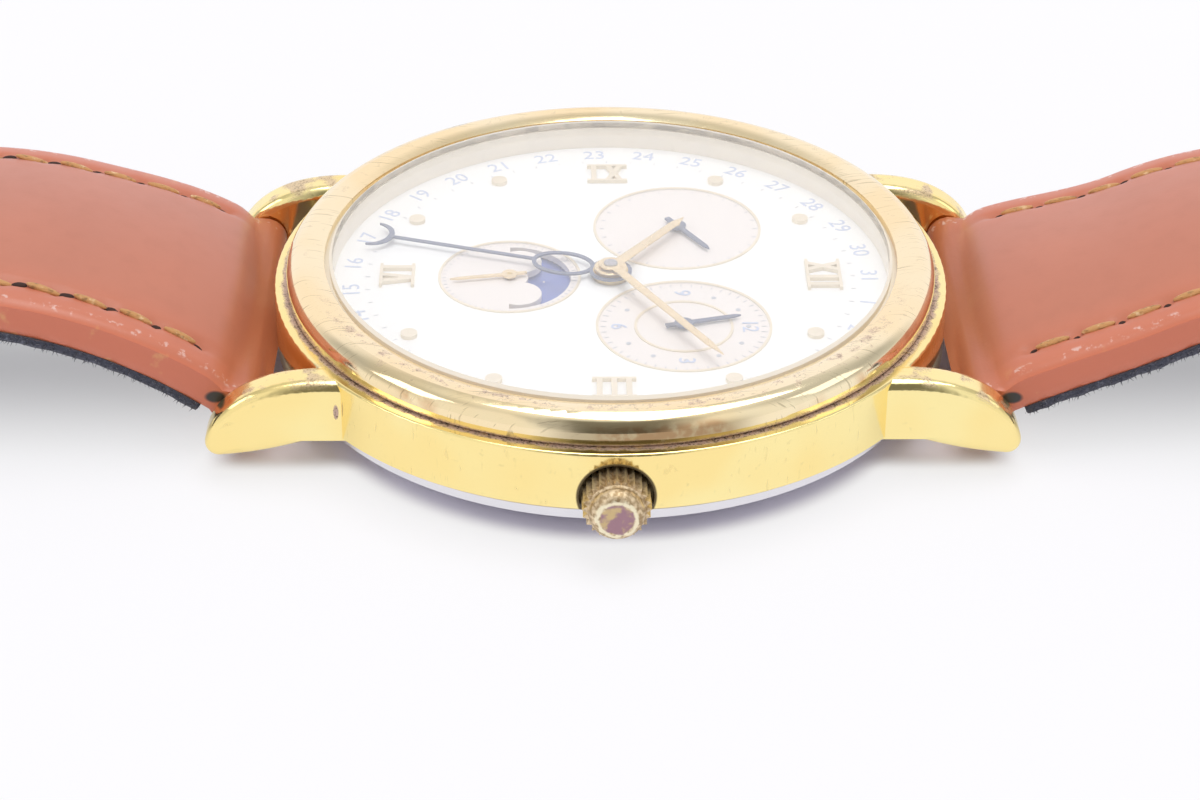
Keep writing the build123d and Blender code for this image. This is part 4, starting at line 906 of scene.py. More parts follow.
def coil_finish():
    """Lacquered copper wire in close turns."""
    finish = Finish("Coil wire")
    turns = (finish.axes()[1] * FULL_TURN * 12).wave()
    base = finish.mix((0.70, 0.28, 0.12), (0.34, 0.11, 0.04), turns)
    return finish.shade(Base_Color=base, Metallic=0.9, Roughness=turns * 0.1 + 0.22,
                        Normal=finish.bump(turns, 0.03 * MM, 0.8))


def board_finish():
    """Green circuit board with gilt lanes and a black chip."""
    finish = Finish("Circuit board")
    x, _, z = finish.axes()
    lane = (x * 7 + finish.noise(500, 1) * 9).sine().step(0.55, 0.75)
    chip = z.step(1.06, 1.10)
    base = finish.layers((0.02, 0.16, 0.07), ((0.55, 0.42, 0.16), lane),
                         ((0.02, 0.02, 0.022), chip))
    return finish.shade(Base_Color=base, Roughness=lane * 0.1 + 0.3,
                        Normal=finish.bump(lane, 0.03 * MM, 0.5))


class WATCH_OT_movement(bpy.types.Operator):
    """Finish the plates, wheels, motor, cell and circuit"""

    bl_idname = "watch.movement"
    bl_label = "Movement"

    def execute(self, context):
        brass = (0.78, 0.58, 0.24)
        nickel = (0.66, 0.65, 0.62)
        dress(turned_finish("Main plate", nickel, (0, 0), 0.25, 3.0), "main_plate")
        dress(metal_finish("Train bridge", nickel, 0.2, (0.05, 1, 1)), "train_bridge")
        dress(plain_finish("Movement ring", (0.80, 0.80, 0.77), 0.45), "movement_holder")
        dress(plain_finish("Ruby", (0.55, 0.01, 0.07), 0.08, coat=1.0), "bridge_jewels")
        dress(metal_finish("Blued screws", (0.10, 0.16, 0.42), 0.14), "bridge_screws")
        for node in ("centre_wheel", "third_wheel", "fourth_wheel", "fifth_wheel", "minute_wheel",
                     "hour_wheel", "date_wheel", "day_star_wheel", "month_star_wheel"):
            label = node.replace("_", " ").capitalize()
            dress(turned_finish(label, brass, middle(node).xy / MM, 0.22, 8.0), node)
        dress(metal_finish("Pinion steel", (0.52, 0.52, 0.54), 0.12), "cannon_pinion")
        dress(metal_finish("Rotor magnet", (0.22, 0.22, 0.24), 0.35), "motor_rotor")
        dress(metal_finish("Soft iron", (0.46, 0.46, 0.45), 0.35, (1, 0.1, 1)),
              "motor_stator", "coil_core")
        dress(coil_finish(), "coil_winding")
        dress(turned_finish("Cell steel", (0.62, 0.62, 0.63), CELL_CENTRE, 0.2, 2.0),
              "battery", "quartz_can")
        dress(metal_finish("Clamp steel", (0.55, 0.55, 0.56), 0.25), "battery_clamp")
        dress(board_finish(), "circuit_board")
        return {"FINISHED"}


# Strap: the same side view and section sizes as the CAD model, in millimetres

BAR_Y, BAR_HEIGHT = 18.6, 2.6
HALF_THICKNESS = 1.2
LINING_THICKNESS = 0.5
LINING_START = 1.7
BORE = 0.8
WIDTH_START, WIDTH_END, TAPER = 17.7, 15.8, 60.0
PAD_START, PAD_LENGTH = 2.4, 42.0
EDGE_HEIGHTS = (0.75, 1.25, 0.75)
CROWN_HEIGHTS = (1.15, 2.0, 1.05)
TAIL_LENGTH, TAIL_POWER = 9.0, 0.645
SINK_START, SINK_RISE, SINK_END, SINK_FALL = 1, 9, 20, 20
HOLE_COUNT, HOLE_PITCH, HOLE_TO_TIP = 7, 6.5, 26
SLOT_SIZE, SLOT_CORNER = (3.0, 7.2, 5.0), 1.1

# The leather's relief in millimetres, with the spreads and the power that shape it
MARGIN_DROP, MARGIN_RISE = 0.10, 0.16
PAD_POWER = 0.85
ROLL_WIDTH, ROLL_RATE = 0.55, 0.9
WALL_BULGE = 0.06
SEAM_END_GAP, SEAM_RUN_IN = 12, 1.5
SEAM_DEPTH, VALLEY_SPREAD = 0.10, 0.10
NEEDLE_DEPTH, NEEDLE_SPREAD = 0.22, 0.09

# Rows of the leather's mesh: along each strap, round a loop and round the tail
LONG_ROWS, SHORT_ROWS, LOOP_ROWS, TAIL_ROWS = 260, 190, 8, 28

# Reach of the worn edge, whose side also carries painted shade, and of the dark end, in
# millimetres, and the spread of the seam's painted shade
EDGE_REACH, END_REACH, SEAM_SPREAD = 1.1, 2.6, 0.16


def run_of(start_angle, lead, crest_bend, fall_angle, foot_bend, end_height, length):
    """Side view of a strap as stretches of (length, turn)."""
    rise, drop = radians(start_angle), radians(fall_angle)
    crest = BAR_HEIGHT + lead * sin(rise) + crest_bend * (1 - cos(rise))
    fall_from = crest - crest_bend * (1 - cos(drop))
    fall_to = end_height + foot_bend * (1 - cos(drop))
    fall = (fall_from - fall_to) / sin(drop)
    bend = crest_bend * (rise + drop)
    foot = foot_bend * drop
    flat = length - lead - bend - fall - foot
    stretches = ((lead, 0), (bend, -start_angle - fall_angle), (fall, 0), (foot, fall_angle),
                 (flat, 0))
    return {"start": start_angle, "length": length, "stretches": stretches}


LONG = {**run_of(35, 2, 25, 14, 60, HALF_THICKNESS, 115),
        "side": -1, "tail": True, "name": "long", "sunk": (0.0, 0.75)}
SHORT = {**run_of(26, 10, 20, 30, 20, 2.5, 75),
         "side": 1, "tail": False, "name": "short", "sunk": (0.5, 1.3)}


def eased(share):
    """Smooth rise from 0 to 1."""
    share = min(1, max(0, share))
    return share * share * (3 - 2 * share)


def bell(square, spread):
    """Falls from 1 as the square of a distance grows past the spread."""
    return 2.718 ** (-square / spread)


def walk(run, distance):
    """Place (y, z) and slope in radians of the middle line at a distance from the spring bar."""
    y, z, angle = BAR_Y, BAR_HEIGHT, run["start"]
    if distance > 0:
        for length, turn in run["stretches"]:
            step = min(distance, length)
            part = turn * step / length
            bearing = radians(angle + part / 2)
            chord = step if turn == 0 else 2 * step * sin(radians(part) / 2) / radians(part)
            y, z, angle = y + chord * cos(bearing), z + chord * sin(bearing), angle + part
            distance -= step
            if distance <= 0:
                break
    slope = radians(angle)
    return y + distance * cos(slope), z + distance * sin(slope), slope


def sinking(run, distance, x):
    """How far a worn strap sinks near the case, more on the side away from the crown."""
    share = eased((distance - SINK_START) / SINK_RISE)
    share *= 1 - eased((distance - SINK_END) / SINK_FALL)
    near, far = run["sunk"]
    return share * (near + (far - near) * (0.5 - x / WIDTH_START))


def strap_point(run, distance, x, height):
    """Point of the strap in metres: distance, place across and height over the middle line."""
    y, z, angle = walk(run, distance)
    return Vector((x, run["side"] * (y - height * sin(angle)),
                   z + height * cos(angle) - sinking(run, distance, x))) * MM


def swell(distance, sizes):
    """A size that grows from the spring bar to the padding and thins towards the end."""
    start, middle, end = sizes
    grown = start + (middle - start) * eased(distance / PAD_START)
    return grown + (end - grown) * eased((distance - PAD_START) / PAD_LENGTH)


def full_half_width(distance):
    """Half the strap's width without the tail's curve."""
    return (WIDTH_START + (WIDTH_END - WIDTH_START) * min(1, max(0, distance) / TAPER)) / 2


def half_width(run, distance):
    """Half the strap's width, drawn in at the tail."""
    half = full_half_width(distance)
    if run["tail"]:
        share = (distance - run["length"] + TAIL_LENGTH) / TAIL_LENGTH
        if share > 0:
            half *= max(0, 1 - min(1, share) ** 2) ** TAIL_POWER
    return half


def round_end(distance):
    """Half thickness of a loop round a bar at a distance from its axis, or 0 beyond it."""
    return sqrt(max(0, HALF_THICKNESS ** 2 - distance ** 2))


def edge_distance(run, distance, x):
    """Distance of a point from the strap's side edge."""
    slope = (half_width(run, distance + 0.05) - half_width(run, distance - 0.05)) / 0.1
    return (half_width(run, distance) - abs(x)) / hypot(1, slope)


def near_needle_hole(distance, off_seam, pitch, start):
    """How near a point is to a needle hole, from 0 to 1."""
    along = (distance - start) / pitch
    if along < -0.3:
        return 0
    off = (along - round(along)) * pitch
    return bell(off * off + off_seam * off_seam, NEEDLE_SPREAD)


def leather_top(run, distance, x, strap):
    """Height of the leather's face over the middle line, with its rolled edge, seam and padding."""
    inset, start, pitch = strap.stitch_inset / MM, strap.stitch_start / MM, strap.stitch_pitch / MM
    inward = edge_distance(run, distance, x)
    margin = swell(distance, EDGE_HEIGHTS) - MARGIN_DROP + MARGIN_RISE * eased(inward / inset)
    pad = max(0, inward - inset) / (full_half_width(distance) - inset)
    rise = sin(pi / 2 * min(1, pad)) ** PAD_POWER
    height = margin + (swell(distance, CROWN_HEIGHTS) - margin) * rise
    height -= ROLL_RATE * max(0, ROLL_WIDTH - inward) ** 2
    run_in = eased((distance - start + SEAM_RUN_IN) / SEAM_RUN_IN)
    height -= SEAM_DEPTH * bell((inward - inset) ** 2, VALLEY_SPREAD) * run_in
    if distance < run["length"] - (0 if run["tail"] else SEAM_END_GAP):
        height -= NEEDLE_DEPTH * near_needle_hole(distance, inward - inset, pitch, start) * run_in
    height = max(height, round_end(distance)) if distance < HALF_THICKNESS else height
    if not run["tail"]:
        left = run["length"] - distance
        if left < HALF_THICKNESS + 0.6:
            height = max(round_end(left), height if left > 0 else 0)
    return height


def leather_bottom(run, distance):
    """Height of the leather's underside: the loops' round, or the lining's face."""
    low = HALF_THICKNESS - LINING_THICKNESS
    near = distance if run["tail"] else min(distance, run["length"] - distance)
    if near < 0:
        return -round_end(near)
    return -max(low, round_end(near))


def shares_across():
    """Places across the strap from -1 to 1, close together at the edges and seams."""
    shares = [0, 0.12, 0.24, 0.36, 0.48, 0.58, 0.655, 0.69, 0.715, 0.74, 0.765, 0.80,
              0.84, 0.88, 0.91, 0.935, 0.955, 0.97, 0.982, 0.992, 1.0]
    return [-share for share in reversed(shares[1:])] + shares


def rows_along(run):
    """Distances of the leather's rows."""
    length = run["length"]
    turns = [pi / 2 * step / LOOP_ROWS for step in range(LOOP_ROWS)]
    rows = [-HALF_THICKNESS * cos(turn) for turn in turns]
    rows[0] = -HALF_THICKNESS + 0.01
    if run["tail"]:
        body_end = length - TAIL_LENGTH
        rows += [body_end * step / LONG_ROWS for step in range(LONG_ROWS)]
        rows += [body_end + TAIL_LENGTH * sin(pi / 2 * step / TAIL_ROWS)
                 for step in range(TAIL_ROWS)]
        return rows + [length - 0.004]
    rows += [length * step / SHORT_ROWS for step in range(SHORT_ROWS)]
    rows += [length + HALF_THICKNESS * sin(turn) for turn in turns]
    return rows + [length + HALF_THICKNESS - 0.01]


def leather_row(run, distance, strap):
    """Closed section of the leather at a distance, in metres."""
    half = half_width(run, distance)
    low = leather_bottom(run, distance)
    row = [strap_point(run, distance, share * half, leather_top(run, distance, share * half, strap))
           for share in shares_across()]
    side_top = leather_top(run, distance, half, strap)
    wall = [side_top + (low - side_top) * part for part in (0.3, 0.6, 0.88)]
    bulge = min(WALL_BULGE, half)
    for height, out in zip(wall, (0.0, bulge, 0.0)):
        row.append(strap_point(run, distance, half + out - 0.02, height))
    for part in (1.0, 0.5, 0.0, -0.5, -1.0):
        row.append(strap_point(run, distance, part * max(0, half - 0.12), low))
    for height, out in zip(reversed(wall), (0.0, bulge, 0.0)):
        row.append(strap_point(run, distance, -half - out + 0.02, height))
    return row


def openings(run):
    """Cutters of the punched holes, or of the slot for the buckle's tongue."""
    if not run["tail"]:
        return [slot_cutter(strap_point(run, run["length"], 0, 0))]
    cutters = []
    for hole in range(HOLE_COUNT):
        distance = run["length"] - HOLE_TO_TIP - HOLE_PITCH * hole
        place = strap_point(run, distance, 0, 0)
        cutters.append(rod(BORE * MM, 8 * MM, place, strap_point(run, distance, 0, 1) - place, 24))
    return cutters


def mark_leather(piece, run, strap):
    """Gives the leather numbers for its material: nearness to edge, end and seam."""
    line = []
    steps = 400
    for step in range(steps + 1):
        distance = -1.2 + (run["length"] + 2.4) * step / steps
        line.append((*walk(run, distance)[:2], distance))
    values = {"edge": [], "end": [], "seam": []}
    for vertex in piece.data.vertices:
        x, y, z = vertex.co / MM
        y *= run["side"]
        distance = min(line, key=lambda spot: (spot[0] - y) ** 2 + (spot[1] - z) ** 2)[2]
        inward = edge_distance(run, distance, x)
        values["edge"].append(max(0, 1 - inward / EDGE_REACH))
        values["end"].append(max(0, 1 - max(0, distance) / END_REACH))
        values["seam"].append(bell((inward - strap.stitch_inset / MM) ** 2, SEAM_SPREAD))
    for name, numbers in values.items():
        piece.data.attributes.new(name, "FLOAT", "POINT").data.foreach_set("value", numbers)


def leather_finish(strap, name="Leather"):
    """Smooth calf: soft colour drift, pores, creases, rubbed edges and darker ends, with painted
    shade on the sides, on the top towards the edges, along the seam and at the loops' openings.
    """
    finish = Finish(name)
    x, y, z = finish.axes()
    fine = finish.noise(900, 4)
    edge, end, seam = (finish.attribute(number) for number in ("edge", "end", "seam"))
    # Painted shade: a near-black oval on each side where the loop opens by the lug tip
    opening = None
    for run in (LONG, SHORT):
        centre = strap_point(run, 1.35, 0, 0.15) / MM
        along, up = (y - centre.y) * 1.6, (z - centre.z) * 2.6
        spot = (1 - (along * along + up * up).step(0.35, 1.0)) * abs(x).step(8.3, 8.6)
        opening = spot if opening is None else opening.at_least(spot)
    rubbed = edge * finish.noise(700, 4).step(0.60, 0.70)
    shoulder = edge.step(0.25, 0.45) * (1 - edge.step(0.62, 0.85))
    cracked = shoulder * finish.noise(2300, 5, 0.6).step(0.54, 0.64)
    base = finish.layers(
        strap.leather,
        (shaded(strap.leather, 1.22), finish.noise(160, 3)),
        (shaded(strap.leather, 0.82), fine.step(0.45, 0.75) * 0.12),
        # Painted shade: deeper colour on the top towards both edges and on the sides, where the
        # sheen falls off
        (strap.leather_wall, abs(x).step(4.5, 8.3) * 0.55),
        (strap.leather_wall, edge.step(0.75, 1.0) * 0.7),
        (strap.leather_deep, end.step(0.4, 1.0) * 0.6),
        # Painted shade at the loops' openings
        ((0.012, 0.008, 0.008), opening),
        # Painted shade along the seam's groove
        (strap.leather_deep, seam * 0.25),
        (strap.leather_rubbed, rubbed * 0.7),
        ((0.86, 0.64, 0.58), cracked * 0.6))
    wrinkle = finish.noise(1500, 4, stretch=(0.35, 1.0, 1.0))
    height = finish.cells(5200) * 0.25 + wrinkle * 0.5 + fine * 0.25
    return finish.shade(Base_Color=base, Roughness=0.44 + fine * 0.14 - edge * 0.12,
                        Specular_IOR_Level=0.55, Sheen_Weight=0.32, Sheen_Roughness=0.35,
                        Sheen_Tint=(0.80, 0.86, 1.0), Coat_Weight=0.42, Coat_Roughness=0.36,
                        Normal=finish.bump(height, 0.03 * MM, 0.35))


class WATCH_OT_leather(bpy.types.Operator):
    """Build both padded leathers with their loops, holes and seams"""

    bl_idname = "watch.leather"
    bl_label = "Strap leather"

    def execute(self, context):
        strap = context.scene.watch_strap
        material = leather_finish(strap)
        for run in (LONG, SHORT):
            node = f"{run['name']}_strap_leather"
            rows = [leather_row(run, distance, strap) for distance in rows_along(run)]
            piece = loft(node.capitalize(), rows)
            bars = (0,) if run["tail"] else (0, run["length"])
            bores = [rod(BORE * MM, 30 * MM, strap_point(run, bar, 0, 0), (1, 0, 0))
                     for bar in bars]
            piece = crease(cut(piece, bores + openings(run)), 48)
            mark_leather(piece, run, strap)
            finished(piece, f"{run['name']}_strap", "strap_leather", material, node)
        return {"FINISHED"}


def slot_cutter(end):
    """Rounded block that clears the buckle's tongue."""
    work = bmesh.new()
    size = Matrix.Diagonal((*(Vector(SLOT_SIZE) * MM), 1))
    bmesh.ops.create_cube(work, size=1.0, matrix=Matrix.Translation(end) @ size)
    upright = [edge for edge in work.edges if abs(edge.verts[0].co.z - edge.verts[1].co.z) > 1 * MM]
    bmesh.ops.bevel(work, geom=upright, offset=SLOT_CORNER * MM, segments=6, affect="EDGES")
    return mesh_of("Slot", work)


# Lining

# Where the keepers rub the lining and how deep, and its gaps at the tail and the bar
KEEPER_RUB_START, KEEPER_RUB = 38, 0.17
TAIL_GAP, BAR_GAP = 0.05, 1.3

LINING_ROWS = 220
TAIL_CROWDING = 1.6

# Fibres on each square metre of the lining's sides, and their width in millimetres
FIBRE_DENSITY, FIBRE_WIDTH = 3.0e7, 0.05


def lining_row(run, distance):
    """Closed section of the lining, with soft edges."""
    half = half_width(run, distance)
    top = -(HALF_THICKNESS - LINING_THICKNESS)
    low = -HALF_THICKNESS
    wave = 0.05 * sin(distance * 3.1) + 0.04 * sin(distance * 7.3)
    rubbed = 0.0 if run["tail"] else KEEPER_RUB * eased((distance - KEEPER_RUB_START) / 6)
    out = max(0.0, half - 0.02 - rubbed + wave * min(1, half))
    section = [(share * out, top) for share in (-1, -0.6, -0.2, 0.2, 0.6, 1)]
    section.append((out + 0.03, (top + low) / 2))
    section += [(share * out, low) for share in (0.985, 0.6, 0.2, -0.2, -0.6, -0.985)]
    section.append((-out - 0.03, (top + low) / 2))
    return [strap_point(run, distance, x, height) for x, height in section]


def lining_finish(strap):
    """Napped leather: dark with pale fibre ends."""
    finish = Finish("Lining nap")
    nap = finish.noise(3800, 4, 0.7)
    clump = finish.noise(700, 3)
    dusty = nap.step(0.5, 0.72) * clump.step(0.35, 0.65) * 0.6
    return finish.shade(Base_Color=finish.mix(strap.lining, strap.lining_dust, dusty),
                        Roughness=nap * 0.1 + 0.85, Sheen_Weight=0.5, Sheen_Roughness=0.5,
                        Normal=finish.bump(nap, 0.12 * MM, 0.7))


def nap_field():
    """Short fibres that stand out of the faces that look sideways."""
    field = Field("Edge nap", {
        "Density": "Float", "Length": "Float", "Width": "Float", "Seed": "Int",
        "Material": "Material"})
    sideways = abs(field.split(field.add("GeometryNodeInputNormal"))[0])
    chosen = field.add("FunctionNodeCompare", {"operation": "GREATER_THAN"}, {0: sideways, 1: 0.6})
    spread = field.add("GeometryNodeDistributePointsOnFaces", None, {
        "Mesh": field.given("Geometry"), "Selection": chosen, "Density": field.given("Density"),
        "Seed": field.given("Seed")})
    turn = Wire(field, spread.socket.node.outputs["Rotation"])
    jitter = field.add("FunctionNodeRandomValue", {"data_type": "FLOAT_VECTOR"}, {
        0: (-0.9, -0.9, -0.9), 1: (0.9, 0.9, 0.9), "Seed": field.given("Seed")})
    leaned = field.add("FunctionNodeRotateRotation", None, {
        "Rotation": turn, "Rotate By": field.add("FunctionNodeEulerToRotation", None, {0: jitter})})
    fibre = field.add("GeometryNodeMeshCone", None, {
        "Vertices": 3, "Radius Top": 0.0, "Radius Bottom": 0.5, "Depth": 1.0})
    shape = field.vector(field.given("Width"), field.given("Width"), field.given("Length"))
    placed = field.spread(spread, fibre, leaned, shape)
    both = field.add("GeometryNodeJoinGeometry", None, {0: placed})
    field.tree.links.new(field.given("Geometry").socket, both.socket.node.inputs[0])
    return field.close(both)


class WATCH_OT_lining(bpy.types.Operator):
    """Build the napped lining of both straps"""

    bl_idname = "watch.lining"
    bl_label = "Strap lining"

    def execute(self, context):
        strap = context.scene.watch_strap
        material = lining_finish(strap)
        field = nap_field()
        for run in (LONG, SHORT):
            node = f"{run['name']}_strap_lining"
            end = run["length"] - (TAIL_GAP if run["tail"] else BAR_GAP)
            crowding = TAIL_CROWDING if run["tail"] else 1.0
            shares = [1 - (1 - step / LINING_ROWS) ** crowding for step in range(LINING_ROWS + 1)]
            rows = [lining_row(run, LINING_START + (end - LINING_START) * share)
                    for share in shares]
            piece = crease(cut(loft(node.capitalize(), rows), openings(run)), 40)
            piece = field.grow(piece, node.capitalize(), {
                "Density": FIBRE_DENSITY, "Length": strap.fibre_length,
                "Width": FIBRE_WIDTH * MM, "Seed": strap.fibre_seed, "Material": material})
            finished(piece, f"{run['name']}_strap", "strap_lining", material, node)
        return {"FINISHED"}


# Stitching

# A needle hole's bead of painted shade in millimetres, how deep it lies, and how flat it and a
# stitch are
NEEDLE_LENGTH, NEEDLE_WIDTH, NEEDLE_FLATNESS, NEEDLE_SINK = 0.80, 0.52, 0.5, 0.06
THREAD_FLATNESS = 0.8


def seam_path(run, strap):
    """Points of the seam in metres, a little over the leather, from one side round to the other."""
    inset = strap.stitch_inset / MM
    start = strap.stitch_start / MM
    end = run["length"] - (TAIL_LENGTH if run["tail"] else SEAM_END_GAP)
    steps = int((end - start) / 0.6)
    distances = [start + (end - start) * step / steps for step in range(steps + 1)]
    side = [(distance, half_width(run, distance) - inset) for distance in distances]
    if run["tail"]:
        for step in range(1, 40):
            distance = end + (TAIL_LENGTH - 0.01) * sin(pi / 2 * step / 39)
            slope = (half_width(run, distance + 0.02) - half_width(run, distance - 0.02)) / 0.04
            lean = hypot(1, slope)
            x = half_width(run, distance) - inset / lean
            if x <= 0.2:
                break
            side.append((distance + inset * slope / lean, x))
        tip = run["length"] - inset
        side = [spot for spot in side if spot[0] < tip - 0.1]
        across = [(tip, 0)]
    else:
        last, reach = side[-1]
        across = [(last, reach * (1 - 2 * step / 24)) for step in range(1, 24)]
    path = side + across + [(distance, -x) for distance, x in reversed(side)]
    return [strap_point(run, distance, x, leather_top(run, distance, x, strap) + 0.04)
            for distance, x in path]


def stitch_field():
    """Thread stitches evenly along a line, each lying on it with its two ends sunk."""
    field = Field("Stitch row", {
        "Pitch": "Float", "Length": "Float", "Width": "Float", "Shift": "Float",
        "Flatness": "Float", "Material": "Material"})
    line = field.add("GeometryNodeMeshToCurve", None, {0: field.given("Geometry")})
    whole = field.add("GeometryNodeCurveLength", None, {0: line})
    trimmed = field.add("GeometryNodeTrimCurve", {"mode": "LENGTH"}, {0: line})
    trim = trimmed.socket.node
    starts = [entry for entry in trim.inputs if entry.name == "Start" and entry.enabled]
    ends = [entry for entry in trim.inputs if entry.name == "End" and entry.enabled]
    field.tree.links.new(field.given("Shift").socket, starts[-1])
    field.tree.links.new((whole - field.given("Shift")).socket, ends[-1])
    points = field.add("GeometryNodeCurveToPoints", {"mode": "LENGTH"},
                       {0: trimmed, "Length": field.given("Pitch")})
    turn = Wire(field, points.socket.node.outputs["Rotation"])
    bead = field.add("GeometryNodeMeshUVSphere", None, {"Segments": 10, "Rings": 7, "Radius": 0.5})
    width = field.given("Width")
    shape = field.vector(width, width * field.given("Flatness"), field.given("Length"))
    return field.close(field.spread(points, bead, turn, shape))


def thread_finish(strap):
    """Waxed linen thread with a twist and stray darker fibres."""
    finish = Finish("Thread")
    twist = finish.noise(6500, 3, 0.6, stretch=(1.0, 0.3, 1.0))
    fibre = finish.noise(2500, 4)
    base = finish.layers(strap.thread, (shaded(strap.thread, 0.55), twist.step(0.50, 0.70)),
                         ((0.90, 0.68, 0.40), fibre.step(0.56, 0.70) * 0.6))
    return finish.shade(Base_Color=base, Roughness=twist * 0.15 + 0.6, Sheen_Weight=0.3,
                        Sheen_Roughness=0.4, Normal=finish.bump(twist, 0.06 * MM, 0.8))


class WATCH_OT_stitching(bpy.types.Operator):
    """Sew both straps: the thread, and painted shade in its needle holes"""

    bl_idname = "watch.stitching"
    bl_label = "Stitching"

    def execute(self, context):
        strap = context.scene.watch_strap
        thread = thread_finish(strap)
        # Painted shade: near-black beads sunk in the needle holes
        dark = plain_finish("Needle holes", (0.045, 0.018, 0.012), 0.8)
        field = stitch_field()
        for run in (LONG, SHORT):
            path = seam_path(run, strap)
            edges = [(step, step + 1) for step in range(len(path) - 1)]
            label = run["name"].capitalize()
            pitch = strap.stitch_pitch
            for kind, material, length, width, shift, flatness, sink in (
                    ("stitches", thread, strap.stitch_length, strap.stitch_width, pitch / 2,
                     THREAD_FLATNESS, 0),
                    ("needle_hole_shades", dark, NEEDLE_LENGTH * MM, NEEDLE_WIDTH * MM, 0.0,
                     NEEDLE_FLATNESS, NEEDLE_SINK * MM)):
                line = mesh_object(f"{label}_seam", path, edges=edges)
                beads = field.grow(line, f"{label}_{kind}", {
                    "Pitch": pitch, "Length": length, "Width": width, "Shift": shift,
                    "Flatness": flatness, "Material": material})
                beads.data.transform(Matrix.Translation((0, 0, -sink)))
                finished(crease(beads, 60), f"{run['name']}_strap", "strap_leather", material)
        return {"FINISHED"}


# Keepers and buckle

# Sizes of the keepers, in millimetres
KEEPER_WALL = 1.0
KEEPER_CORNER = 1.25


def keeper_section(length):
    """Section of a keeper as (place along the strap, height over its face), with pressed lines."""
    edge = 0.32 * MM
    turns = [pi / 2 * step / 6 for step in range(7)]
    section = [(edge - edge * cos(turn), -edge + edge * sin(turn)) for turn in turns]
    section += [(length * share, depth * MM) for share, depth in (
        (0.16, -0.02), (0.20, -0.12), (0.24, 0), (0.5, 0), (0.76, 0), (0.80, -0.12), (0.84, -0.02))]
    section += [(length - edge + edge * cos(turn), -edge + edge * sin(turn))
                for turn in reversed(turns)]
    return section + [(length - 0.1 * MM, -KEEPER_WALL * MM), (0.1 * MM, -KEEPER_WALL * MM)]


def keeper_piece(name, node):
    """Closed leather loop with rounded corners, in the box of its CAD node."""
    low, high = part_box(node)
    corner = KEEPER_CORNER * MM
    corners = ((high.x - corner, high.z - corner), (corner - high.x, high.z - corner),
               (corner - high.x, low.z + corner), (high.x - corner, low.z + corner))
    section = keeper_section(high.y - low.y)
    rows = []
    for quarter, (x, z) in enumerate(corners):
        for step in range(9):
            turn = quarter * pi / 2 + pi / 2 * step / 8
            rows.append([(x + cos(turn) * (corner + height), low.y + along,
                          z + sin(turn) * (corner + height)) for along, height in section])
    return crease(loft(name, rows, ring=True), 50)


class WATCH_OT_keepers(bpy.types.Operator):
    """Build the fixed and the loose keeper"""

    bl_idname = "watch.keepers"
    bl_label = "Keepers"

    def execute(self, context):
        strap = context.scene.watch_strap
        material = leather_finish(strap, "Keeper leather")
        for node, body in (("fixed_keeper", "short_strap"), ("loose_keeper", "sliding_keeper")):
            finished(keeper_piece(node.capitalize(), node), body, "strap_leather", material, node)
        return {"FINISHED"}


class WATCH_OT_buckle(bpy.types.Operator):
    """Finish the buckle and its tongue"""

    bl_idname = "watch.buckle"
    bl_label = "Buckle"

    def execute(self, context):
        settings = context.scene.watch_case
        dress(gold_finish("Buckle plating", settings), "buckle_frame", "buckle_tongue")
        return {"FINISHED"}


# Stage

TABLE_REACH = 3.0
SENSOR_WIDTH = 36
CAMERA_PLACE = (0.137562, -0.002998, 0.084459)
CAMERA_AIM = (-0.84567601, 0.01535883, -0.53347558)
CAMERA_ROLL = 0.4
LAMPS = (("Overhead softbox", (-0.08, 0.06, 0.72), 0.5, 2.1),
         ("Left softbox", (0.15, -0.75, 0.55), 0.35, 0.70),
         ("Right softbox", (0.10, 0.80, 0.50), 0.35, 0.34))


def soft_lamp(name, place, side, power):
    """Square soft box that looks at the watch."""
    data = bpy.data.lights.new(name, "AREA")
    data.shape = "RECTANGLE"
    data.size = side
    data.size_y = side
    data.energy = power
    lamp = in_scene(name, data)
    lamp.location = place
    lamp.rotation_euler = (-Vector(place)).to_track_quat("-Z", "Y").to_euler()


def studio_world():
    """White room with two windows and a dark gap ahead of the crown, for polished metal."""
    world = bpy.data.worlds.new("Studio")
    bpy.context.scene.world = world
    world.use_nodes = True
    tree = Tree(world.node_tree)
    world.node_tree.nodes.clear()
    x, y, z = tree.split(tree.add("ShaderNodeTexCoord", output="Generated"))
    level = tree.add("ShaderNodeValToRGB", {"stops": (
        (0.0, (0.95, 0.95, 0.97)), (0.10, (0.90, 0.90, 0.92)), (0.26, (0.62, 0.62, 0.63)),
        (0.55, (0.50, 0.50, 0.51)), (0.80, (0.62, 0.62, 0.62)), (0.93, (0.90, 0.90, 0.90)),
        (1.0, (1.0, 1.0, 1.0)))}, {"Fac": z})
    ahead = x.step(0.10, 0.50) * z.step(-0.05, 0.02)
    windows = ahead * abs(y).step(0.34, 0.46) * (1 - z.step(0.86, 0.97))
    gap = ahead * (1 - abs(y - 0.03).step(0.16, 0.36)) * (1 - z.step(0.88, 0.99))
    far_wall = (1 - x.step(-0.6, -0.3)) * z.step(-0.05, 0.0) * (1 - z.step(0.62, 0.85))
    seen = tree.layers(level, ((0.92, 0.92, 0.93), windows), ((0.15, 0.145, 0.13), gap * 0.9),
                       ((1.05, 1.02, 1.08), far_wall * tree.ray("Glossy")))
    back = tree.add("ShaderNodeBackground", None, {"Color": seen, "Strength": 1.0})
    tree.add("ShaderNodeOutputWorld", None, {"Surface": back})


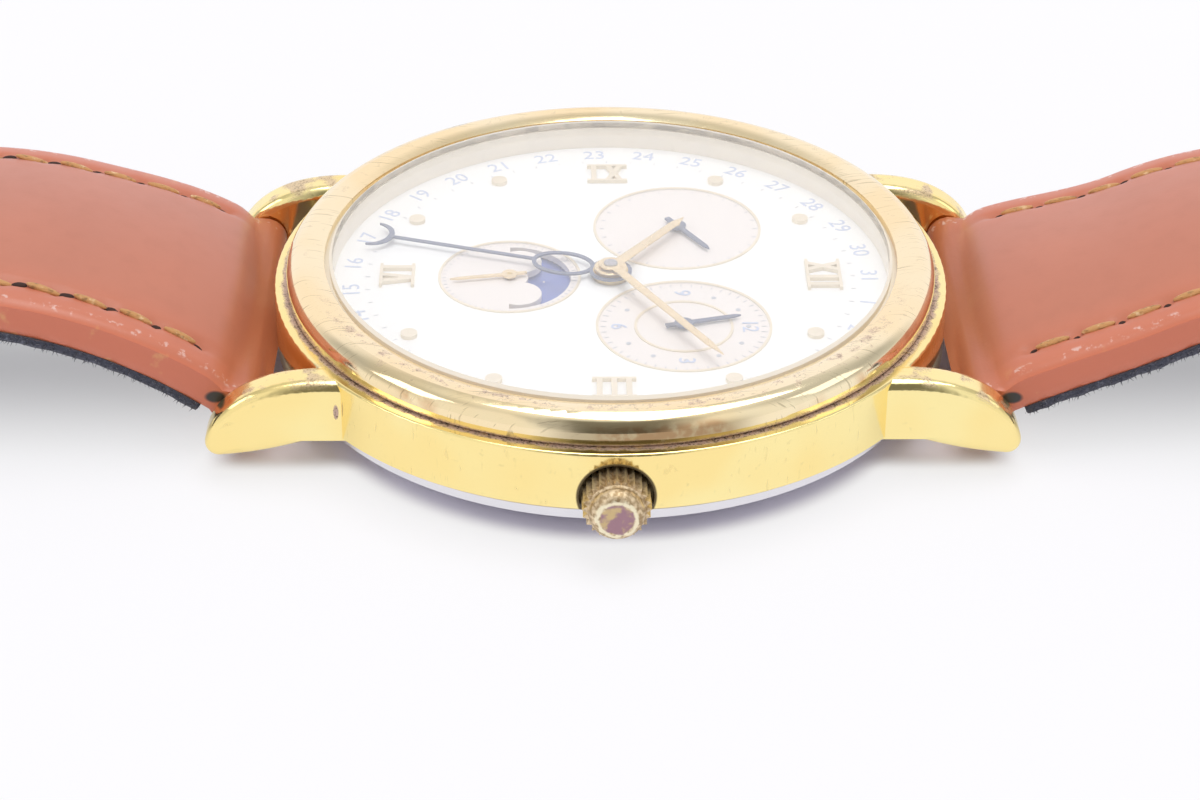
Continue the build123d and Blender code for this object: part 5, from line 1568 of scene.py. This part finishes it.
def table_finish(settings):
    """White paper, paler for seen rays except where the watch shades it."""
    finish = Finish("Table paper")
    tint = finish.mix(settings.floor, shaded(settings.floor, 0.985), finish.noise(300, 3))
    paper = finish.principled(Base_Color=tint, Roughness=0.85, Specular_IOR_Level=0.2)
    white = finish.add("ShaderNodeEmission", None, {"Color": (1, 1, 1, 1), "Strength": 1.0})
    seen = finish.ray("Camera").at_least(finish.ray("Glossy")).at_least(finish.ray("Transmission"))
    x, y, _ = finish.axes()
    between_lugs = (1 - abs(x).step(8.8, 10.4)) * (1 - abs(y).step(18.5, 20.5))
    under_strap = (1 - abs(x).step(0, 9.5)) * abs(y).step(17, 21) * (1 - abs(y).step(120, 135))
    round_case = finish.radius((0, 0)).step(15.4, 16.8)
    open_floor = round_case * (1 - between_lugs) * (1 - under_strap * 0.5)
    return finish.close(finish.blend(seen * open_floor * settings.white_share, paper, white))


def place_camera(lens):
    """Camera fitted to the outlines of the case, dial and lugs."""
    data = bpy.data.cameras.new("Camera")
    data.lens = lens
    data.sensor_width = SENSOR_WIDTH
    data.clip_start = 0.001
    data.clip_end = 20
    data.dof.use_dof = False
    camera = in_scene("Camera", data)
    forward = Vector(CAMERA_AIM).normalized()
    right = forward.cross(Vector((0, 0, 1))).normalized()
    up = right.cross(forward)
    roll = radians(CAMERA_ROLL)
    right, up = cos(roll) * right + sin(roll) * up, cos(roll) * up - sin(roll) * right
    turn = Matrix((right, up, -forward)).transposed().to_4x4()
    camera.matrix_world = Matrix.Translation(CAMERA_PLACE) @ turn
    bpy.context.scene.camera = camera


class WATCH_OT_stage(bpy.types.Operator):
    """Set the table, lamps, room and camera"""

    bl_idname = "watch.stage"
    bl_label = "Stage"

    def execute(self, context):
        settings = context.scene.watch_stage
        corners = [(x * TABLE_REACH, y * TABLE_REACH, 0)
                   for x, y in ((-1, -1), (1, -1), (1, 1), (-1, 1))]
        floor = mesh_object("Table", corners, [(0, 1, 2, 3)], smooth=False)
        paint(floor, table_finish(settings))
        for name, place, side, power in LAMPS:
            soft_lamp(name, place, side, power * settings.lamp_strength)
        studio_world()
        place_camera(settings.lens)
        context.scene.view_settings.view_transform = "Standard"
        return {"FINISHED"}


OPERATORS = (WATCH_OT_case, WATCH_OT_crystal, WATCH_OT_dial, WATCH_OT_hands, WATCH_OT_movement,
             WATCH_OT_leather, WATCH_OT_lining, WATCH_OT_stitching, WATCH_OT_keepers,
             WATCH_OT_buckle, WATCH_OT_stage)


class WATCH_PT_pieces(bpy.types.Panel):
    """Lists the watch's pieces and settings"""

    bl_idname = "WATCH_PT_pieces"
    bl_label = "Moon phase watch"
    bl_space_type = "VIEW_3D"
    bl_region_type = "UI"
    bl_category = "Watch"

    def draw(self, context):
        for operator in OPERATORS:
            self.layout.operator(operator.bl_idname)
        for key, group in SETTINGS.items():
            box = self.layout.box()
            box.label(text=group.__doc__)
            for name in group.__annotations__:
                box.prop(getattr(context.scene, key), name)


def register():
    for group in SETTINGS.values():
        bpy.utils.register_class(group)
    for key, group in SETTINGS.items():
        setattr(bpy.types.Scene, key, PointerProperty(type=group))
    for operator in OPERATORS:
        bpy.utils.register_class(operator)
    bpy.utils.register_class(WATCH_PT_pieces)


def unregister():
    bpy.utils.unregister_class(WATCH_PT_pieces)
    for operator in reversed(OPERATORS):
        bpy.utils.unregister_class(operator)
    for key in SETTINGS:
        delattr(bpy.types.Scene, key)
    for group in reversed(SETTINGS.values()):
        bpy.utils.unregister_class(group)


def main():
    """Builds the whole watch."""
    register()
    for operator in OPERATORS:
        group, name = operator.bl_idname.split(".")
        getattr(getattr(bpy.ops, group), name)()
    bpy.context.view_layer.update()


if __name__ == "__main__":
    main()
